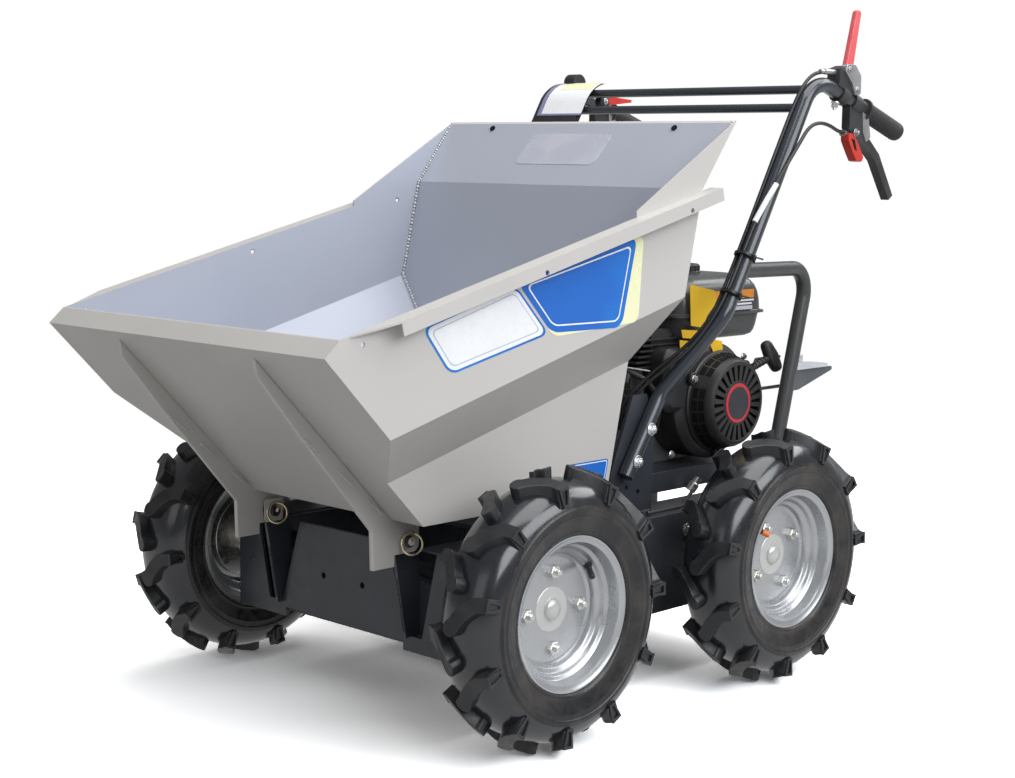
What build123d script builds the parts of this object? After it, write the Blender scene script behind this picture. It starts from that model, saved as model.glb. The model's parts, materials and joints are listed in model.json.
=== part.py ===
"""Walk-behind site dumper: tipping skip, four driven wheels, open petrol engine and handlebar controls.

Millimetres, +Z up. The machine drives towards -Y and its left side faces +X. The origin lies on the ground,
below the middle of the machine's length, on its plane of symmetry.
"""

import os
from math import atan2, cos, degrees, hypot, radians, sin, tan

from build123d import *

# ---- general -------------------------------------------------------------------------------------------
SIDES = (("left", 1), ("right", -1))
RUNNING_FIT = 0.05  # radial clearance of a pin or shaft in its bore
SEAT_GAP = 0.3  # a rubber or curved piece lies this far from the piece it rests on
TUBE_R = 11.0  # handlebars and guards are the same tube

# ---- wheels --------------------------------------------------------------------------------------------
AXLES = (("front", -286.0, 0.0), ("rear", 243.0, 30.0))  # name, y, turn of the wheel bolts
WHEEL_X = 355.0  # wheel centre plane
LUG_TOP_R = 207.5  # at a lug's inner end, which carries the machine
LUG_HEIGHT = 17.5  # from the crown of the carcass up to LUG_TOP_R
CARCASS_STEPS = ((27.0, 4.0), (47.0, 19.0), (55.0, 39.0))  # half width, drop below the crown
BEAD_R = 101.6
LUG_COUNT = 11  # on each half of the tread
LUG_WIDTH = 22.0
LUG_SWEEP = 41.0  # how far a lug leans along the tread
LUG_OVERLAP = 5.0  # how far its inner end passes the centre line
LUG_BEND_X = 36.0  # outside this its end runs square across the shoulder
LUG_OUTER_X = 52.0
LUG_TILT = 17.0  # its top falls outwards
LUG_ROOT_R = 166.0  # where its square outer end dies into the carcass
LUG_PITCH = 360 / LUG_COUNT
LUG_REACH = LUG_SWEEP / 2 + LUG_WIDTH / 2  # half the length that a lug covers along the tread
CARCASS_R = LUG_TOP_R - LUG_HEIGHT
TYRE_HALF_WIDTH, BULGE_DROP = CARCASS_STEPS[-1]
# The wheel stands on the inner end of its lowest lug, or on the corners of the lugs beside it if they reach lower.
beside = hypot(LUG_TOP_R, LUG_REACH) * cos(radians(LUG_PITCH / 2) - atan2(LUG_REACH, LUG_TOP_R))
AXLE_Z = max(LUG_TOP_R, beside - LUG_OVERLAP * tan(radians(LUG_TILT)))
WHEEL_FLATS = 2 * LUG_COUNT  # the tyre, rim and hub are many-sided, with a flat under each lug
RIM_HALF_WIDTH = 43.0
RIM_FLANGE_R = 111.0
RIM_SHEET = 3.0
RIM_SEAT = 14.0  # width of the seat for the tyre's outboard bead
RIM_WELL_X = 11.0  # where the well's outboard cone ends, from the centre plane
DISC_OFFSET = -5.0  # from the centre plane, outboard positive
DISC_R = 80.0
DISC_THICKNESS = 5.0
BOLT_CIRCLE_R = 55.5
BOLT_COUNT = 4
STUD_R = 5.0
STUD_LENGTH = 20.0
NUT_R = 10.0
NUT_HEIGHT = 12.0
WASHER_R = 34.0
WASHER_HEIGHT = 3.0
HUB_CAP_R = 15.0
HUB_CAP_HEIGHT = 9.0
HUB_FLANGE_R = 70.0
HUB_FLANGE_THICKNESS = 8.0
HUB_BARREL_R = 28.0
HUB_BARREL_LENGTH = 36.0
SHAFT_R = 12.5
SHAFT_INNER_X = 150.0

# ---- chassis -------------------------------------------------------------------------------------------
RAIL_X = 250.0  # outer face of a side rail
RAIL_THICKNESS = 5.0
RAIL_BOTTOM = 118.0
RAIL_TOP = 277.0
RAIL_FRONT = -365.0
RAIL_REAR = 372.0
TOP_FLANGE = 85.0
BOTTOM_FLANGE = 35.0
PLATE_THICKNESS = 6.0
PLATE_BOTTOM = 134.0
PLATE_BOTTOM_HALF = 149.0
PLATE_TOP_HALF = 102.0
PLATE_HOLE_X = 45.0
PLATE_HOLE_Z = 201.0
PLATE_HOLE_R = 5.0
WING_HALF = 255.0
WING_BOTTOM = 120.0
AXLE_TUBE_R = 24.0
CROSS_MEMBERS = ((-340.0, 24.0), (-20.0, 24.0), (357.0, 24.0))  # y of the centre, depth along y
CROSS_HEIGHT = 100.0
WING_INNER_BOTTOM = 172.0
WING_INNER_TOP = 203.0
HINGE_LUG_R = 17.0
BEARING_R = 38.0
BEARING_THICKNESS = 6.0
GEARBOX_WIDTH = 120.0
GEARBOX_LENGTH = 150.0
INPUT_SHAFT_DROP = 28.0  # below the gearbox's top
BELT_LOWER_R = 28.0
BELT_AXLE_GAP = 2.5
BELT_LOWER_Z = AXLE_Z + AXLE_TUBE_R + BELT_AXLE_GAP + BELT_LOWER_R
GEARBOX_HEIGHT = BELT_LOWER_Z + INPUT_SHAFT_DROP - RAIL_BOTTOM - 2
REST_DEPTH = 40.0
REST_HALF = 190.0
REST_FOOT_X = 240.0
REST_SHEET = 4.0
BUFFER_X = 150.0
BUFFER_R = 18.0
BUFFER_HEIGHT = 12.0

# ---- skip ----------------------------------------------------------------------------------------------
SHEET = 2.5
SKIP_HALF = 320.0
SKIP_LOWER_HALF = 229.0
FOLD_SLOPE = 14.8
UPPER_FOLD = (-562.0, 475.0)  # y, z where the upper side fold meets the front sheet
LOWER_FOLD_DROP = 96.0  # square distance between the two side folds
FLOOR_Z = 326.0
LIP = (-675.0, 590.0)
LIP_EDGE = (-650.0, 612.0)
FLOOR_FRONT_Y = -418.0
FLOOR_REAR_Y = -25.0
REAR_FOLD = (81.0, 799.0)
REAR_TOP = (163.0, 906.0)
CHEEK_FRONT = (-74.0, 767.0)
CHEEK_STEP = 9.0
RIM_DEPTH = 20.0
RIM_OUT = 25.0
RIM_FRONT_Y = -567.0
RIM_REAR_Y = 100.0
SIDE_HOLE_R = 4.0
SIDE_HOLES = ((27.0, 768.0), (-293.0, 686.0), (-612.0, 604.0))
REAR_HOLE_X = 205.0
REAR_HOLE_DROP = 16.0
RIB_X = 157.0
RIB_THICKNESS = 8.0
HINGE_Y = -388.0
HINGE_Z = 291.0
HINGE_R = 6.0
LUG_PLATE = 6.0
LUG_GAP = 1.0
TOE_Z = 255.0
TOE_FRONT_Y = -452.0
TOE_LENGTH = 42.0
RIB_TOP_Z = 577.0
RIB_NOSE = ((-658.0, 552.0), (-588.0, 467.0))
RIB_TOE_TOP_Z = 313.0
RIB_TAB_DROP = 19.0  # below the hinge's axis
RIB_TAB_REACH = 14.0  # behind the hinge's axis, up to the rounded corner
RIB_TAB_R = 12.0
REST_Y = -62.0

# ---- engine --------------------------------------------------------------------------------------------
CRANK_Y = 289.0
CRANK_Z = 440.0
TRAY_TOP = 334.0
TRAY_BOTTOM = 300.0
TRAY_SHEET = 4.0
TRAY_FRONT = 66.0
TRAY_REAR = 372.0
RECOIL_X = 240.0
RECOIL_BACK_X = 196.0
RECOIL_R = 86.0
RECOIL_FACE_R = 63.0
RECOIL_BADGE_R = 29.0
RECOIL_SLOTS = 24
RECOIL_SLOT_WIDTH = 5.0
RECOIL_SLOT_DEPTH = 8.0
PULL_ROPE = ((216.0, 350.0, 489.0), (222.0, 408.0, 509.0))
PULL_NECK_R = 6.0
PULL_BAR = ((216.0, 402.0, 527.0), (228.0, 417.0, 492.0))
PULL_BAR_R = 8.0
FAN_BACK_X = 128.0
FAN_R = 99.0
FAN_SCROLL_TOP = 536.0
FAN_SCROLL_FRONT = 158.0
FAN_CHAMFER = 10.0
CASE_NEAR_X = 128.0
CASE_FAR_X = -72.0
CASE_FRONT = 92.0  # from the crankshaft, as are the next three
CASE_REAR = 82.0
CASE_HEIGHT = 76.0
CASE_TOP_HALF = 40.0
CRANK_R = 10.0
CRANK_LENGTH = 28.0
CYLINDER_TILT = 25.0
CYLINDER_X = 30.0
CYLINDER_WIDTH = 84.0
CYLINDER_LENGTH = 128.0
FIN_COUNT = 6
FIN_PITCH = 10.0
FIN_THICKNESS = 3.0
FIN_WIDTH = 112.0
HEAD_HEIGHT = 26.0
ROCKER_HEIGHT = 24.0
FILTER_PLACE = (78.0, 138.0)
FILTER_SIZE = (120.0, 110.0)
FILTER_BOTTOM = 560.0
FILTER_HEIGHT = 90.0
CARBURETTOR = (36.0, 40.0, 62.0)
SILENCER_PLACE = (-84.0, 142.0)
SILENCER_SIZE = (100.0, 104.0)
SILENCER_BOTTOM = 560.0
SILENCER_HEIGHT = 84.0
EXHAUST = (24.0, 36.0, 58.0)
BOX_CHAMFER = 8.0  # round the tops of the air filter and the silencer
BELT_X = -100.0
BELT_DEPTH = 40.0
BELT_GAP = 6.0  # round the belt cover where it passes through the tray
BELT_UPPER_R = 52.0
BELT_CHAMFER = 5.0
INPUT_SHAFT_R = 10.0
CAP_R = 30.0
CAP_HEIGHT = 16.0
TANK_CORNER_R = 26.0
TANK_NEAR_X = 185.0
TANK_FAR_X = -10.0
TANK_FRONT_Y = 212.0
TANK_REAR_Y = 440.0
TANK_BOTTOM = 541.0
TANK_SEAM = 585.0
TANK_TOP = 650.0
TANK_CHAMFER = 10.0
TANK_POST = 60.0

# ---- handlebars ----------------------------------------------------------------------------------------
BRACKET_X = 206.0
BRACKET_THICKNESS = 6.0
BRACKET_TRAY_GAP = 7.0
TRAY_HALF = BRACKET_X - BRACKET_THICKNESS / 2 - BRACKET_TRAY_GAP
BAR_LOW_X = BRACKET_X + BRACKET_THICKNESS / 2 + TUBE_R
BAR_X = 290.0
BAR_ROUTE = ((30.0, 343.0), (111.0, 467.0), (185.0, 597.0), (410.5, 984.0), (664.5, 898.5))
GRIP_R = 15.0
GRIP_LENGTH = 118.0
CROSSBAR_R = 6.0
CROSSBARS = ((405.0, 963.0), (380.0, 932.0))  # (y, z) on the bars' centre line
BAR_BEND_R = 60.0
GRIP_CAP = 6.0
GRIP_FIT = 0.2
BRACKET_OUTLINE = ((4.0, 277.0), (109.0, 277.0), (112.0, 425.0), (92.0, 470.0), (58.0, 470.0), (6.0, 345.0))
BRACKET_HOLES = ((46.0, 322.0), (75.0, 312.0))
BRACKET_HOLE_R = 4.0
BRACKET_BOLTS = ((46.0, 367.0), (78.0, 416.0))
BRACKET_BOLT_R = 8.5
GUARD_X = 263.0
GUARD_WELD_GAP = 0.5
GUARD_ROUTE = ((226.0, 667.0), (452.0, 663.0), (352.0, 280.0))
GUARD_BEND_R = 42.0
GUARD_FOOT = (52.0, 40.0, 6.0)
CLAMP_WALL = 5.0
CLAMP_WIDTH = 22.0
STEERING_CLAMP_Y = 528.0
STEERING_THICKNESS = 16.0
STEERING_EAR = ((509.0, 947.0), (545.0, 932.0), (559.0, 880.0), (529.0, 872.0), (509.0, 902.0))
STEERING_BLADE = ((540.0, 884.0), (556.0, 896.0), (604.0, 858.0), (652.0, 786.0), (640.0, 778.0), (592.0, 846.0))
DRIVE_CLAMP_Y = 490.0
DRIVE_TOWER = ((466.0, 972.0), (470.0, 1000.0), (492.0, 1006.0), (522.0, 984.0), (520.0, 958.0), (490.0, 962.0))
DRIVE_TOWER_WIDTH = 26.0
DRIVE_BLADE = ((494.0, 990.0), (514.0, 976.0), (539.0, 1096.0), (535.0, 1101.0), (528.0, 1101.0), (524.0, 1097.0))
DRIVE_BLADE_THICKNESS = 10.0
CONSOLE_SHEET = 2.0
CONSOLE_OUTER_X = 304.0
CONSOLE_INNER_X = 196.0
CONSOLE_TOP_TURN = 95.0
CONSOLE_SKIRT = 44.0
THROTTLE_X = 272.0
THROTTLE_R = 17.0
THROTTLE_WIDTH = 26.0
SHELF_TOP = 490.0
SHELF_X = (180.0, 264.0)
SHELF_Y = (404.0, 572.0)
SHELF_STEP = 34.0  # clears the pull handle
SHELF_SHEET = 3.0
SHELF_GUSSET = 40.0


# ---- control cables ------------------------------------------------------------------------------------
CABLE_R = 3.0
GLAND_R = 7.0
GLAND_LENGTH = 9.0
GLANDS = (("drive", 22.0, 262.0), ("steering", 44.0, 250.0))  # x and z on the gearbox's front
# Each cable runs from its lever down the left tube and behind the skip to the gearbox.
DRIVE_CABLE = (
    (290.0, 437.0, 994.0),
    (289.0, 407.0, 988.0),
    (286.0, 385.0, 968.0),
    (281.0, 367.5, 935.5),
    (280.2, 330.5, 871.5),
    (279.3, 287.7, 795.3),
    (279.8, 246.0, 724.5),
    (279.3, 205.5, 655.5),
    (276.0, 172.0, 598.0),
    (256.0, 146.0, 556.0),
    (229.0, 122.0, 524.0),
    (203.0, 100.0, 497.0),
    (181.0, 76.0, 462.0),
    (166.0, 57.0, 415.0),
    (154.0, 44.0, 362.0),
    (136.0, 47.0, 311.0),
    (106.0, 68.0, 278.0),
    (71.0, 90.0, 268.0),
    (38.0, 111.0, 263.0),
    (22.0, 136.0, 262.0),
)
STEERING_CABLE = (
    (292.0, 490.0, 893.0),
    (298.0, 450.0, 905.0),
    (303.5, 410.0, 909.0),
    (307.0, 376.0, 900.0),
    (306.5, 351.0, 872.0),
    (304.5, 310.0, 826.0),
    (295.4, 258.0, 757.0),
    (292.6, 221.0, 690.0),
    (291.0, 183.0, 625.5),
    (278.0, 157.0, 580.5),
    (256.0, 133.0, 539.0),
    (226.0, 110.0, 508.0),
    (198.0, 90.0, 478.0),
    (180.0, 64.0, 432.0),
    (168.0, 44.0, 380.0),
    (156.0, 38.0, 325.0),
    (128.0, 58.0, 278.0),
    (88.0, 90.0, 256.0),
    (44.0, 128.0, 250.0),
)
CABLE_CUT = 0.45  # of the shorter run, taken up by the arc at a point

os.makedirs("parts", exist_ok=True)


# ---- skip ----------------------------------------------------------------------------------------------
REACH = 1500.0  # longer than anything it cuts
RIM_SLOPE = degrees(atan2(CHEEK_FRONT[1] - CHEEK_STEP - LIP_EDGE[1], CHEEK_FRONT[0] - LIP_EDGE[0]))


def slope_plane(point: tuple[float, float], slope: float) -> Plane:
    """A plane square to a line that climbs rearward at this slope, its x along the machine's width."""
    rise = radians(slope)
    return Plane(origin=(0, *point), x_dir=(1, 0, 0), z_dir=(0, -cos(rise), -sin(rise)))


def sheet_y(z: float) -> float:
    """The y of the skip's front sheet at this height."""
    run = (LIP[0] - FLOOR_FRONT_Y) / (LIP[1] - FLOOR_Z)
    return FLOOR_FRONT_Y + run * (z - FLOOR_Z)


def rim_z(y: float) -> float:
    """The height of the skip's side edge at this y."""
    return LIP_EDGE[1] + tan(radians(RIM_SLOPE)) * (y - LIP_EDGE[0])


FOLDED_SECTION = (
    (SKIP_HALF, REACH),
    (SKIP_HALF, 0),
    (SKIP_LOWER_HALF, -LOWER_FOLD_DROP),
    (SKIP_LOWER_HALF, -REACH),
)
SKIP_PROFILE = (
    LIP_EDGE,
    LIP,
    (FLOOR_FRONT_Y, FLOOR_Z),
    (FLOOR_REAR_Y, FLOOR_Z),
    REAR_FOLD,
    REAR_TOP,
)
panel_run, panel_rise = REAR_TOP[0] - REAR_FOLD[0], REAR_TOP[1] - REAR_FOLD[1]

with BuildPart() as cavity:
    with BuildSketch(slope_plane(UPPER_FOLD, FOLD_SLOPE)):
        Polygon(*FOLDED_SECTION, *[(-x, v) for x, v in reversed(FOLDED_SECTION)], align=None)
        offset(amount=-SHEET, kind=Kind.INTERSECTION)
    extrude(amount=REACH, both=True)
    with BuildSketch(Plane.YZ):
        Polygon(
            *SKIP_PROFILE,
            (REAR_TOP[0] + panel_run, REAR_TOP[1] + panel_rise),
            (LIP_EDGE[0], REAR_TOP[1] + panel_rise),
            align=None,
        )
        offset(amount=-SHEET, kind=Kind.INTERSECTION)
    extrude(amount=REACH, both=True, mode=Mode.INTERSECT)

with BuildPart() as skip_tub:
    with BuildSketch(slope_plane(UPPER_FOLD, FOLD_SLOPE)):
        Polygon(*FOLDED_SECTION, *[(-x, v) for x, v in reversed(FOLDED_SECTION)], align=None)
    extrude(amount=REACH, both=True)
    with BuildSketch(Plane.YZ):
        Polygon(
            *SKIP_PROFILE,
            CHEEK_FRONT,
            (CHEEK_FRONT[0], rim_z(CHEEK_FRONT[0])),
            align=None,
        )
    extrude(amount=REACH, both=True, mode=Mode.INTERSECT)
    add(cavity.part, mode=Mode.SUBTRACT)
    rim_start = (RIM_FRONT_Y, rim_z(RIM_FRONT_Y))
    rim_length = (RIM_REAR_Y - RIM_FRONT_Y) / cos(radians(RIM_SLOPE))
    with BuildSketch(slope_plane(rim_start, RIM_SLOPE)):
        with Locations((SKIP_HALF, 0)):
            Rectangle(RIM_OUT, SHEET, align=(Align.MIN, Align.MAX))
        with Locations((SKIP_HALF + RIM_OUT, 0)):
            Rectangle(SHEET, RIM_DEPTH, align=(Align.MAX, Align.MAX))
    extrude(amount=-rim_length)
    mirror(about=Plane.YZ)
    with BuildSketch(Plane.YZ):
        with Locations(*SIDE_HOLES):
            Circle(SIDE_HOLE_R)
    extrude(amount=REACH, both=True, mode=Mode.SUBTRACT)
    rear_panel = Plane(
        origin=(0, *REAR_TOP), x_dir=(1, 0, 0), z_dir=(0, panel_rise, -panel_run)
    )
    with BuildSketch(rear_panel):
        with Locations((REAR_HOLE_X, REAR_HOLE_DROP), (-REAR_HOLE_X, REAR_HOLE_DROP)):
            Circle(SIDE_HOLE_R)
    extrude(amount=2 * RIM_OUT, both=True, mode=Mode.SUBTRACT)
skip_tub.part.label = "skip_tub"
export_step(skip_tub.part, "parts/skip_tub.step")

# Each rib is a plate under the front sheet. Its front leg is a toe, its rear tab carries the hinge pin.
PIN_HEAD_R = 9.0
PIN_HEAD = 3.0
PIN_TAIL = 14.0
for side, sign in SIDES:
    with BuildPart() as rib:
        with BuildSketch(Plane.YZ.offset(sign * RIB_X)):
            with BuildLine():
                outline = Polyline(
                    (sheet_y(RIB_TOP_Z), RIB_TOP_Z),
                    *RIB_NOSE,
                    (TOE_FRONT_Y - 2, RIB_TOE_TOP_Z),
                    (TOE_FRONT_Y, TOE_Z),
                    (TOE_FRONT_Y + TOE_LENGTH, TOE_Z),
                    (TOE_FRONT_Y + TOE_LENGTH, HINGE_Z - RIB_TAB_DROP),
                    (HINGE_Y + RIB_TAB_REACH, HINGE_Z - RIB_TAB_DROP),
                )
                corner = JernArc(start=outline @ 1, tangent=(1, 0), radius=RIB_TAB_R, arc_size=90)
                Polyline(
                    corner @ 1,
                    ((corner @ 1).X, FLOOR_Z),
                    (FLOOR_FRONT_Y, FLOOR_Z),
                    outline @ 0,
                )
            make_face()
        extrude(amount=RIB_THICKNESS / 2, both=True)
        pin_inner = RIB_X - RIB_THICKNESS / 2 - LUG_GAP - LUG_PLATE - LUG_GAP - PIN_HEAD
        pin_outer = RIB_X + RIB_THICKNESS / 2 + PIN_TAIL
        with BuildSketch(Plane.YZ.offset(sign * pin_inner)):
            with Locations((HINGE_Y, HINGE_Z)):
                Circle(HINGE_R)
        extrude(amount=sign * (pin_outer - pin_inner))
        with BuildSketch(Plane.YZ.offset(sign * pin_inner)):
            with Locations((HINGE_Y, HINGE_Z)):
                Circle(PIN_HEAD_R)
        extrude(amount=sign * PIN_HEAD)
    rib.part.label = f"skip_rib_{side}"
    export_step(rib.part, f"parts/skip_rib_{side}.step")


# ---- wheels --------------------------------------------------------------------------------------------
with BuildPart() as lug:
    with BuildSketch(
        Plane(
            origin=(0, 0, LUG_TOP_R - LUG_OVERLAP * tan(radians(LUG_TILT))),
            x_dir=(cos(radians(LUG_TILT)), 0, -sin(radians(LUG_TILT))),
            z_dir=(sin(radians(LUG_TILT)), 0, cos(radians(LUG_TILT))),
        )
    ):
        lean = 1 / cos(radians(LUG_TILT))  # a length across the tread, measured along the tilted top
        Polygon(
            (LUG_OUTER_X * lean, LUG_REACH),
            (LUG_BEND_X * lean - LUG_WIDTH / 3, LUG_REACH),
            (-LUG_OVERLAP * lean, LUG_WIDTH - LUG_REACH),
            (-LUG_OVERLAP * lean, LUG_WIDTH / 5 - LUG_REACH),
            (LUG_WIDTH / 6, -LUG_REACH),
            (LUG_BEND_X * lean, LUG_REACH - LUG_WIDTH),
            (LUG_OUTER_X * lean, LUG_REACH - LUG_WIDTH),
            align=None,
        )
    extrude(amount=LUG_ROOT_R - LUG_TOP_R, dir=(0, 0, 1))

# A many-sided turned shape is one flat sector, drawn above the axle and repeated round it.
half_flat = tan(radians(180 / WHEEL_FLATS))
SECTOR = ((0, 0), (REACH * half_flat, REACH), (-REACH * half_flat, REACH))
dish_foot = (RIM_HALF_WIDTH - RIM_SHEET, RIM_FLANGE_R + SEAT_GAP)
half_section = [(x, CARCASS_R - drop) for x, drop in CARCASS_STEPS]
half_section += [(TYRE_HALF_WIDTH - 1, CARCASS_R - BULGE_DROP - 1), dish_foot, (dish_foot[0], BEAD_R)]
with BuildPart() as tyre_sector:
    with BuildSketch(Plane.XZ):
        Polygon((0, CARCASS_R), *half_section, *[(-x, r) for x, r in reversed(half_section)], align=None)
    extrude(amount=REACH, both=True)
    with BuildSketch(Plane.YZ):
        Polygon(*SECTOR, align=None)
    extrude(amount=TYRE_HALF_WIDTH, both=True, mode=Mode.INTERSECT)
with BuildPart() as tyre_blank:
    add([tyre_sector.part.rotate(Axis.X, 360 / WHEEL_FLATS * i) for i in range(WHEEL_FLATS)])
    # The row of lugs on the outboard half starts at the lowest line, the other half a pitch further on.
    add([lug.part.rotate(Axis.X, 180 + LUG_PITCH * i) for i in range(LUG_COUNT)])
    add([lug.part.mirror(Plane.YZ).rotate(Axis.X, 180 + LUG_PITCH * (i + 0.5)) for i in range(LUG_COUNT)])

# The rim is one folded sheet, as (x, radius) of its middle line from flange to flange, outboard positive.
flange_x = RIM_HALF_WIDTH - RIM_SHEET / 2
seat_r = BEAD_R - RIM_SHEET / 2
RIM_LINE = (
    (flange_x, RIM_FLANGE_R),
    (flange_x, seat_r),
    (flange_x - RIM_SEAT, seat_r),
    (RIM_WELL_X, DISC_R),
    (2 * DISC_OFFSET - RIM_WELL_X, DISC_R),
    (-flange_x, seat_r),
    (-flange_x, RIM_FLANGE_R),
)
disc_faces = (DISC_OFFSET + DISC_THICKNESS / 2, DISC_OFFSET - DISC_THICKNESS / 2)
with BuildPart() as rim_sector:
    with BuildSketch(Plane.XZ):
        with BuildLine():
            Polyline(*RIM_LINE)
        trace(line_width=RIM_SHEET)
        with Locations((DISC_OFFSET, WASHER_R)):
            Rectangle(DISC_THICKNESS, DISC_R - WASHER_R, align=(Align.CENTER, Align.MIN))
    extrude(amount=REACH, both=True)
    with BuildSketch(Plane.YZ):
        Polygon(*SECTOR, align=None)
    extrude(amount=REACH, both=True, mode=Mode.INTERSECT)
with BuildPart() as rim_blank:
    add([rim_sector.part.rotate(Axis.X, 360 / WHEEL_FLATS * i) for i in range(WHEEL_FLATS)])

tyre_blanks = {"left": tyre_blank.part, "right": tyre_blank.part.mirror(Plane.YZ)}
rim_blanks = {"left": rim_blank.part, "right": rim_blank.part.mirror(Plane.YZ)}
for side, sign in SIDES:
    for axle, y, turn in AXLES:
        centre = (sign * WHEEL_X, y, AXLE_Z)
        with BuildPart() as tyre:
            with Locations(centre):
                add(tyre_blanks[side])
        tyre.part.label = f"tyre_{axle}_{side}"
        export_step(tyre.part, f"parts/tyre_{axle}_{side}.step")

        with BuildPart() as rim:
            with Locations(centre):
                add(rim_blanks[side])
        rim.part.label = f"rim_{axle}_{side}"
        export_step(rim.part, f"parts/rim_{axle}_{side}.step")

        # Stub axle: flange behind the disc, shaft into the chassis, nuts and hub cap outside.
        disc_out = sign * (WHEEL_X + disc_faces[0])
        disc_in = sign * (WHEEL_X + disc_faces[1])
        with BuildPart() as hub:
            with BuildSketch(Plane.YZ.offset(disc_in)):
                with Locations((y, AXLE_Z)):
                    RegularPolygon(HUB_FLANGE_R, WHEEL_FLATS)
            extrude(amount=-sign * HUB_FLANGE_THICKNESS)
            with BuildSketch(Plane.YZ.offset(disc_in - sign * HUB_FLANGE_THICKNESS)):
                with Locations((y, AXLE_Z)):
                    RegularPolygon(HUB_BARREL_R, WHEEL_FLATS)
            extrude(amount=-sign * HUB_BARREL_LENGTH)
            with BuildSketch(Plane.YZ.offset(disc_in)):
                with Locations((y, AXLE_Z)):
                    Circle(SHAFT_R)
            extrude(amount=-(disc_in - sign * SHAFT_INNER_X))
            with BuildSketch(Plane.YZ.offset(disc_in)):
                with Locations((y, AXLE_Z)):
                    RegularPolygon(WASHER_R, WHEEL_FLATS, major_radius=False)
            extrude(amount=sign * (DISC_THICKNESS + WASHER_HEIGHT))
            with BuildSketch(Plane.YZ.offset(disc_out + sign * WASHER_HEIGHT)):
                with Locations((y, AXLE_Z)):
                    RegularPolygon(HUB_CAP_R, LUG_COUNT)
            extrude(amount=sign * HUB_CAP_HEIGHT)
            for radius, height in ((NUT_R, NUT_HEIGHT), (STUD_R, STUD_LENGTH)):
                with BuildSketch(Plane.YZ.offset(disc_out)):
                    with Locations((y, AXLE_Z)):
                        with PolarLocations(BOLT_CIRCLE_R, BOLT_COUNT, start_angle=turn):
                            RegularPolygon(radius, 6)
                extrude(amount=sign * height)
        hub.part.label = f"hub_{axle}_{side}"
        export_step(hub.part, f"parts/hub_{axle}_{side}.step")

# ---- chassis -------------------------------------------------------------------------------------------
with BuildPart() as chassis_frame:
    rail_length = RAIL_REAR - RAIL_FRONT
    with BuildSketch(Plane.XZ.offset(-RAIL_REAR)):
        with Locations((RAIL_X, RAIL_BOTTOM)):
            Rectangle(RAIL_THICKNESS, RAIL_TOP - RAIL_BOTTOM, align=(Align.MAX, Align.MIN))
            Rectangle(BOTTOM_FLANGE, RAIL_THICKNESS, align=(Align.MAX, Align.MIN))
        with Locations((RAIL_X, RAIL_TOP)):
            Rectangle(TOP_FLANGE, RAIL_THICKNESS, align=(Align.MAX, Align.MAX))
    extrude(amount=rail_length)
    for y, depth in CROSS_MEMBERS:
        with BuildSketch(Plane.YZ):
            with Locations((y, RAIL_BOTTOM + RAIL_THICKNESS)):
                Rectangle(depth, CROSS_HEIGHT, align=(Align.CENTER, Align.MIN))
        extrude(amount=RAIL_X - RAIL_THICKNESS)
    with BuildSketch(Plane.YZ.offset(RAIL_X)):
        for axle, y, turn in AXLES:
            with Locations((y, AXLE_Z)):
                Circle(AXLE_TUBE_R)
    extrude(amount=-RAIL_THICKNESS, mode=Mode.SUBTRACT)
    mirror(about=Plane.YZ)
chassis_frame.part.label = "chassis_frame"
export_step(chassis_frame.part, "parts/chassis_frame.step")

# Front plate: a tapered middle, a wing each side, and between them the notches for the skip's hinge tabs.
lug_inner_x = RIB_X - RIB_THICKNESS / 2 - LUG_GAP - LUG_PLATE
with BuildPart() as front_plate:
    with BuildSketch(Plane.XZ.offset(-RAIL_FRONT)):
        Polygon(
            (0, PLATE_BOTTOM),
            (PLATE_BOTTOM_HALF, PLATE_BOTTOM),
            (PLATE_TOP_HALF, RAIL_TOP),
            (0, RAIL_TOP),
            align=None,
        )
        Polygon(
            (WING_INNER_BOTTOM, WING_BOTTOM),
            (WING_HALF, WING_BOTTOM),
            (WING_HALF, RAIL_TOP),
            (WING_INNER_TOP + 6, RAIL_TOP),
            (WING_INNER_TOP, RAIL_TOP - 22),
            align=None,
        )
        Polygon(
            (PLATE_BOTTOM_HALF - 12, WING_BOTTOM),
            (WING_INNER_BOTTOM + 12, WING_BOTTOM),
            (WING_INNER_BOTTOM + 12, PLATE_BOTTOM + 10),
            (PLATE_BOTTOM_HALF - 12, PLATE_BOTTOM + 10),
            align=None,
        )
    extrude(amount=PLATE_THICKNESS)
    with BuildSketch(Plane.XZ.offset(-RAIL_FRONT)):
        with Locations((PLATE_HOLE_X, PLATE_HOLE_Z)):
            Circle(PLATE_HOLE_R)
    extrude(amount=PLATE_THICKNESS, mode=Mode.SUBTRACT)
    with BuildSketch(Plane.YZ.offset(lug_inner_x)):
        with Locations((HINGE_Y, HINGE_Z)):
            Circle(HINGE_LUG_R)
        Polygon(
            (HINGE_Y - HINGE_LUG_R, HINGE_Z),
            (RAIL_FRONT - PLATE_THICKNESS - 8, PLATE_BOTTOM + 8),
            (CROSS_MEMBERS[0][0] - CROSS_MEMBERS[0][1] / 2, PLATE_BOTTOM + 8),
            (CROSS_MEMBERS[0][0] - CROSS_MEMBERS[0][1] / 2, RAIL_TOP - 15),
            (HINGE_Y + HINGE_LUG_R, HINGE_Z),
            align=None,
        )
    extrude(amount=LUG_PLATE)
    with BuildSketch(Plane.YZ.offset(lug_inner_x)):
        with Locations((HINGE_Y, HINGE_Z)):
            Circle(HINGE_R + RUNNING_FIT)
    extrude(amount=LUG_PLATE, mode=Mode.SUBTRACT)
    mirror(about=Plane.YZ)
front_plate.part.label = "front_plate"
export_step(front_plate.part, "parts/front_plate.step")

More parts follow.
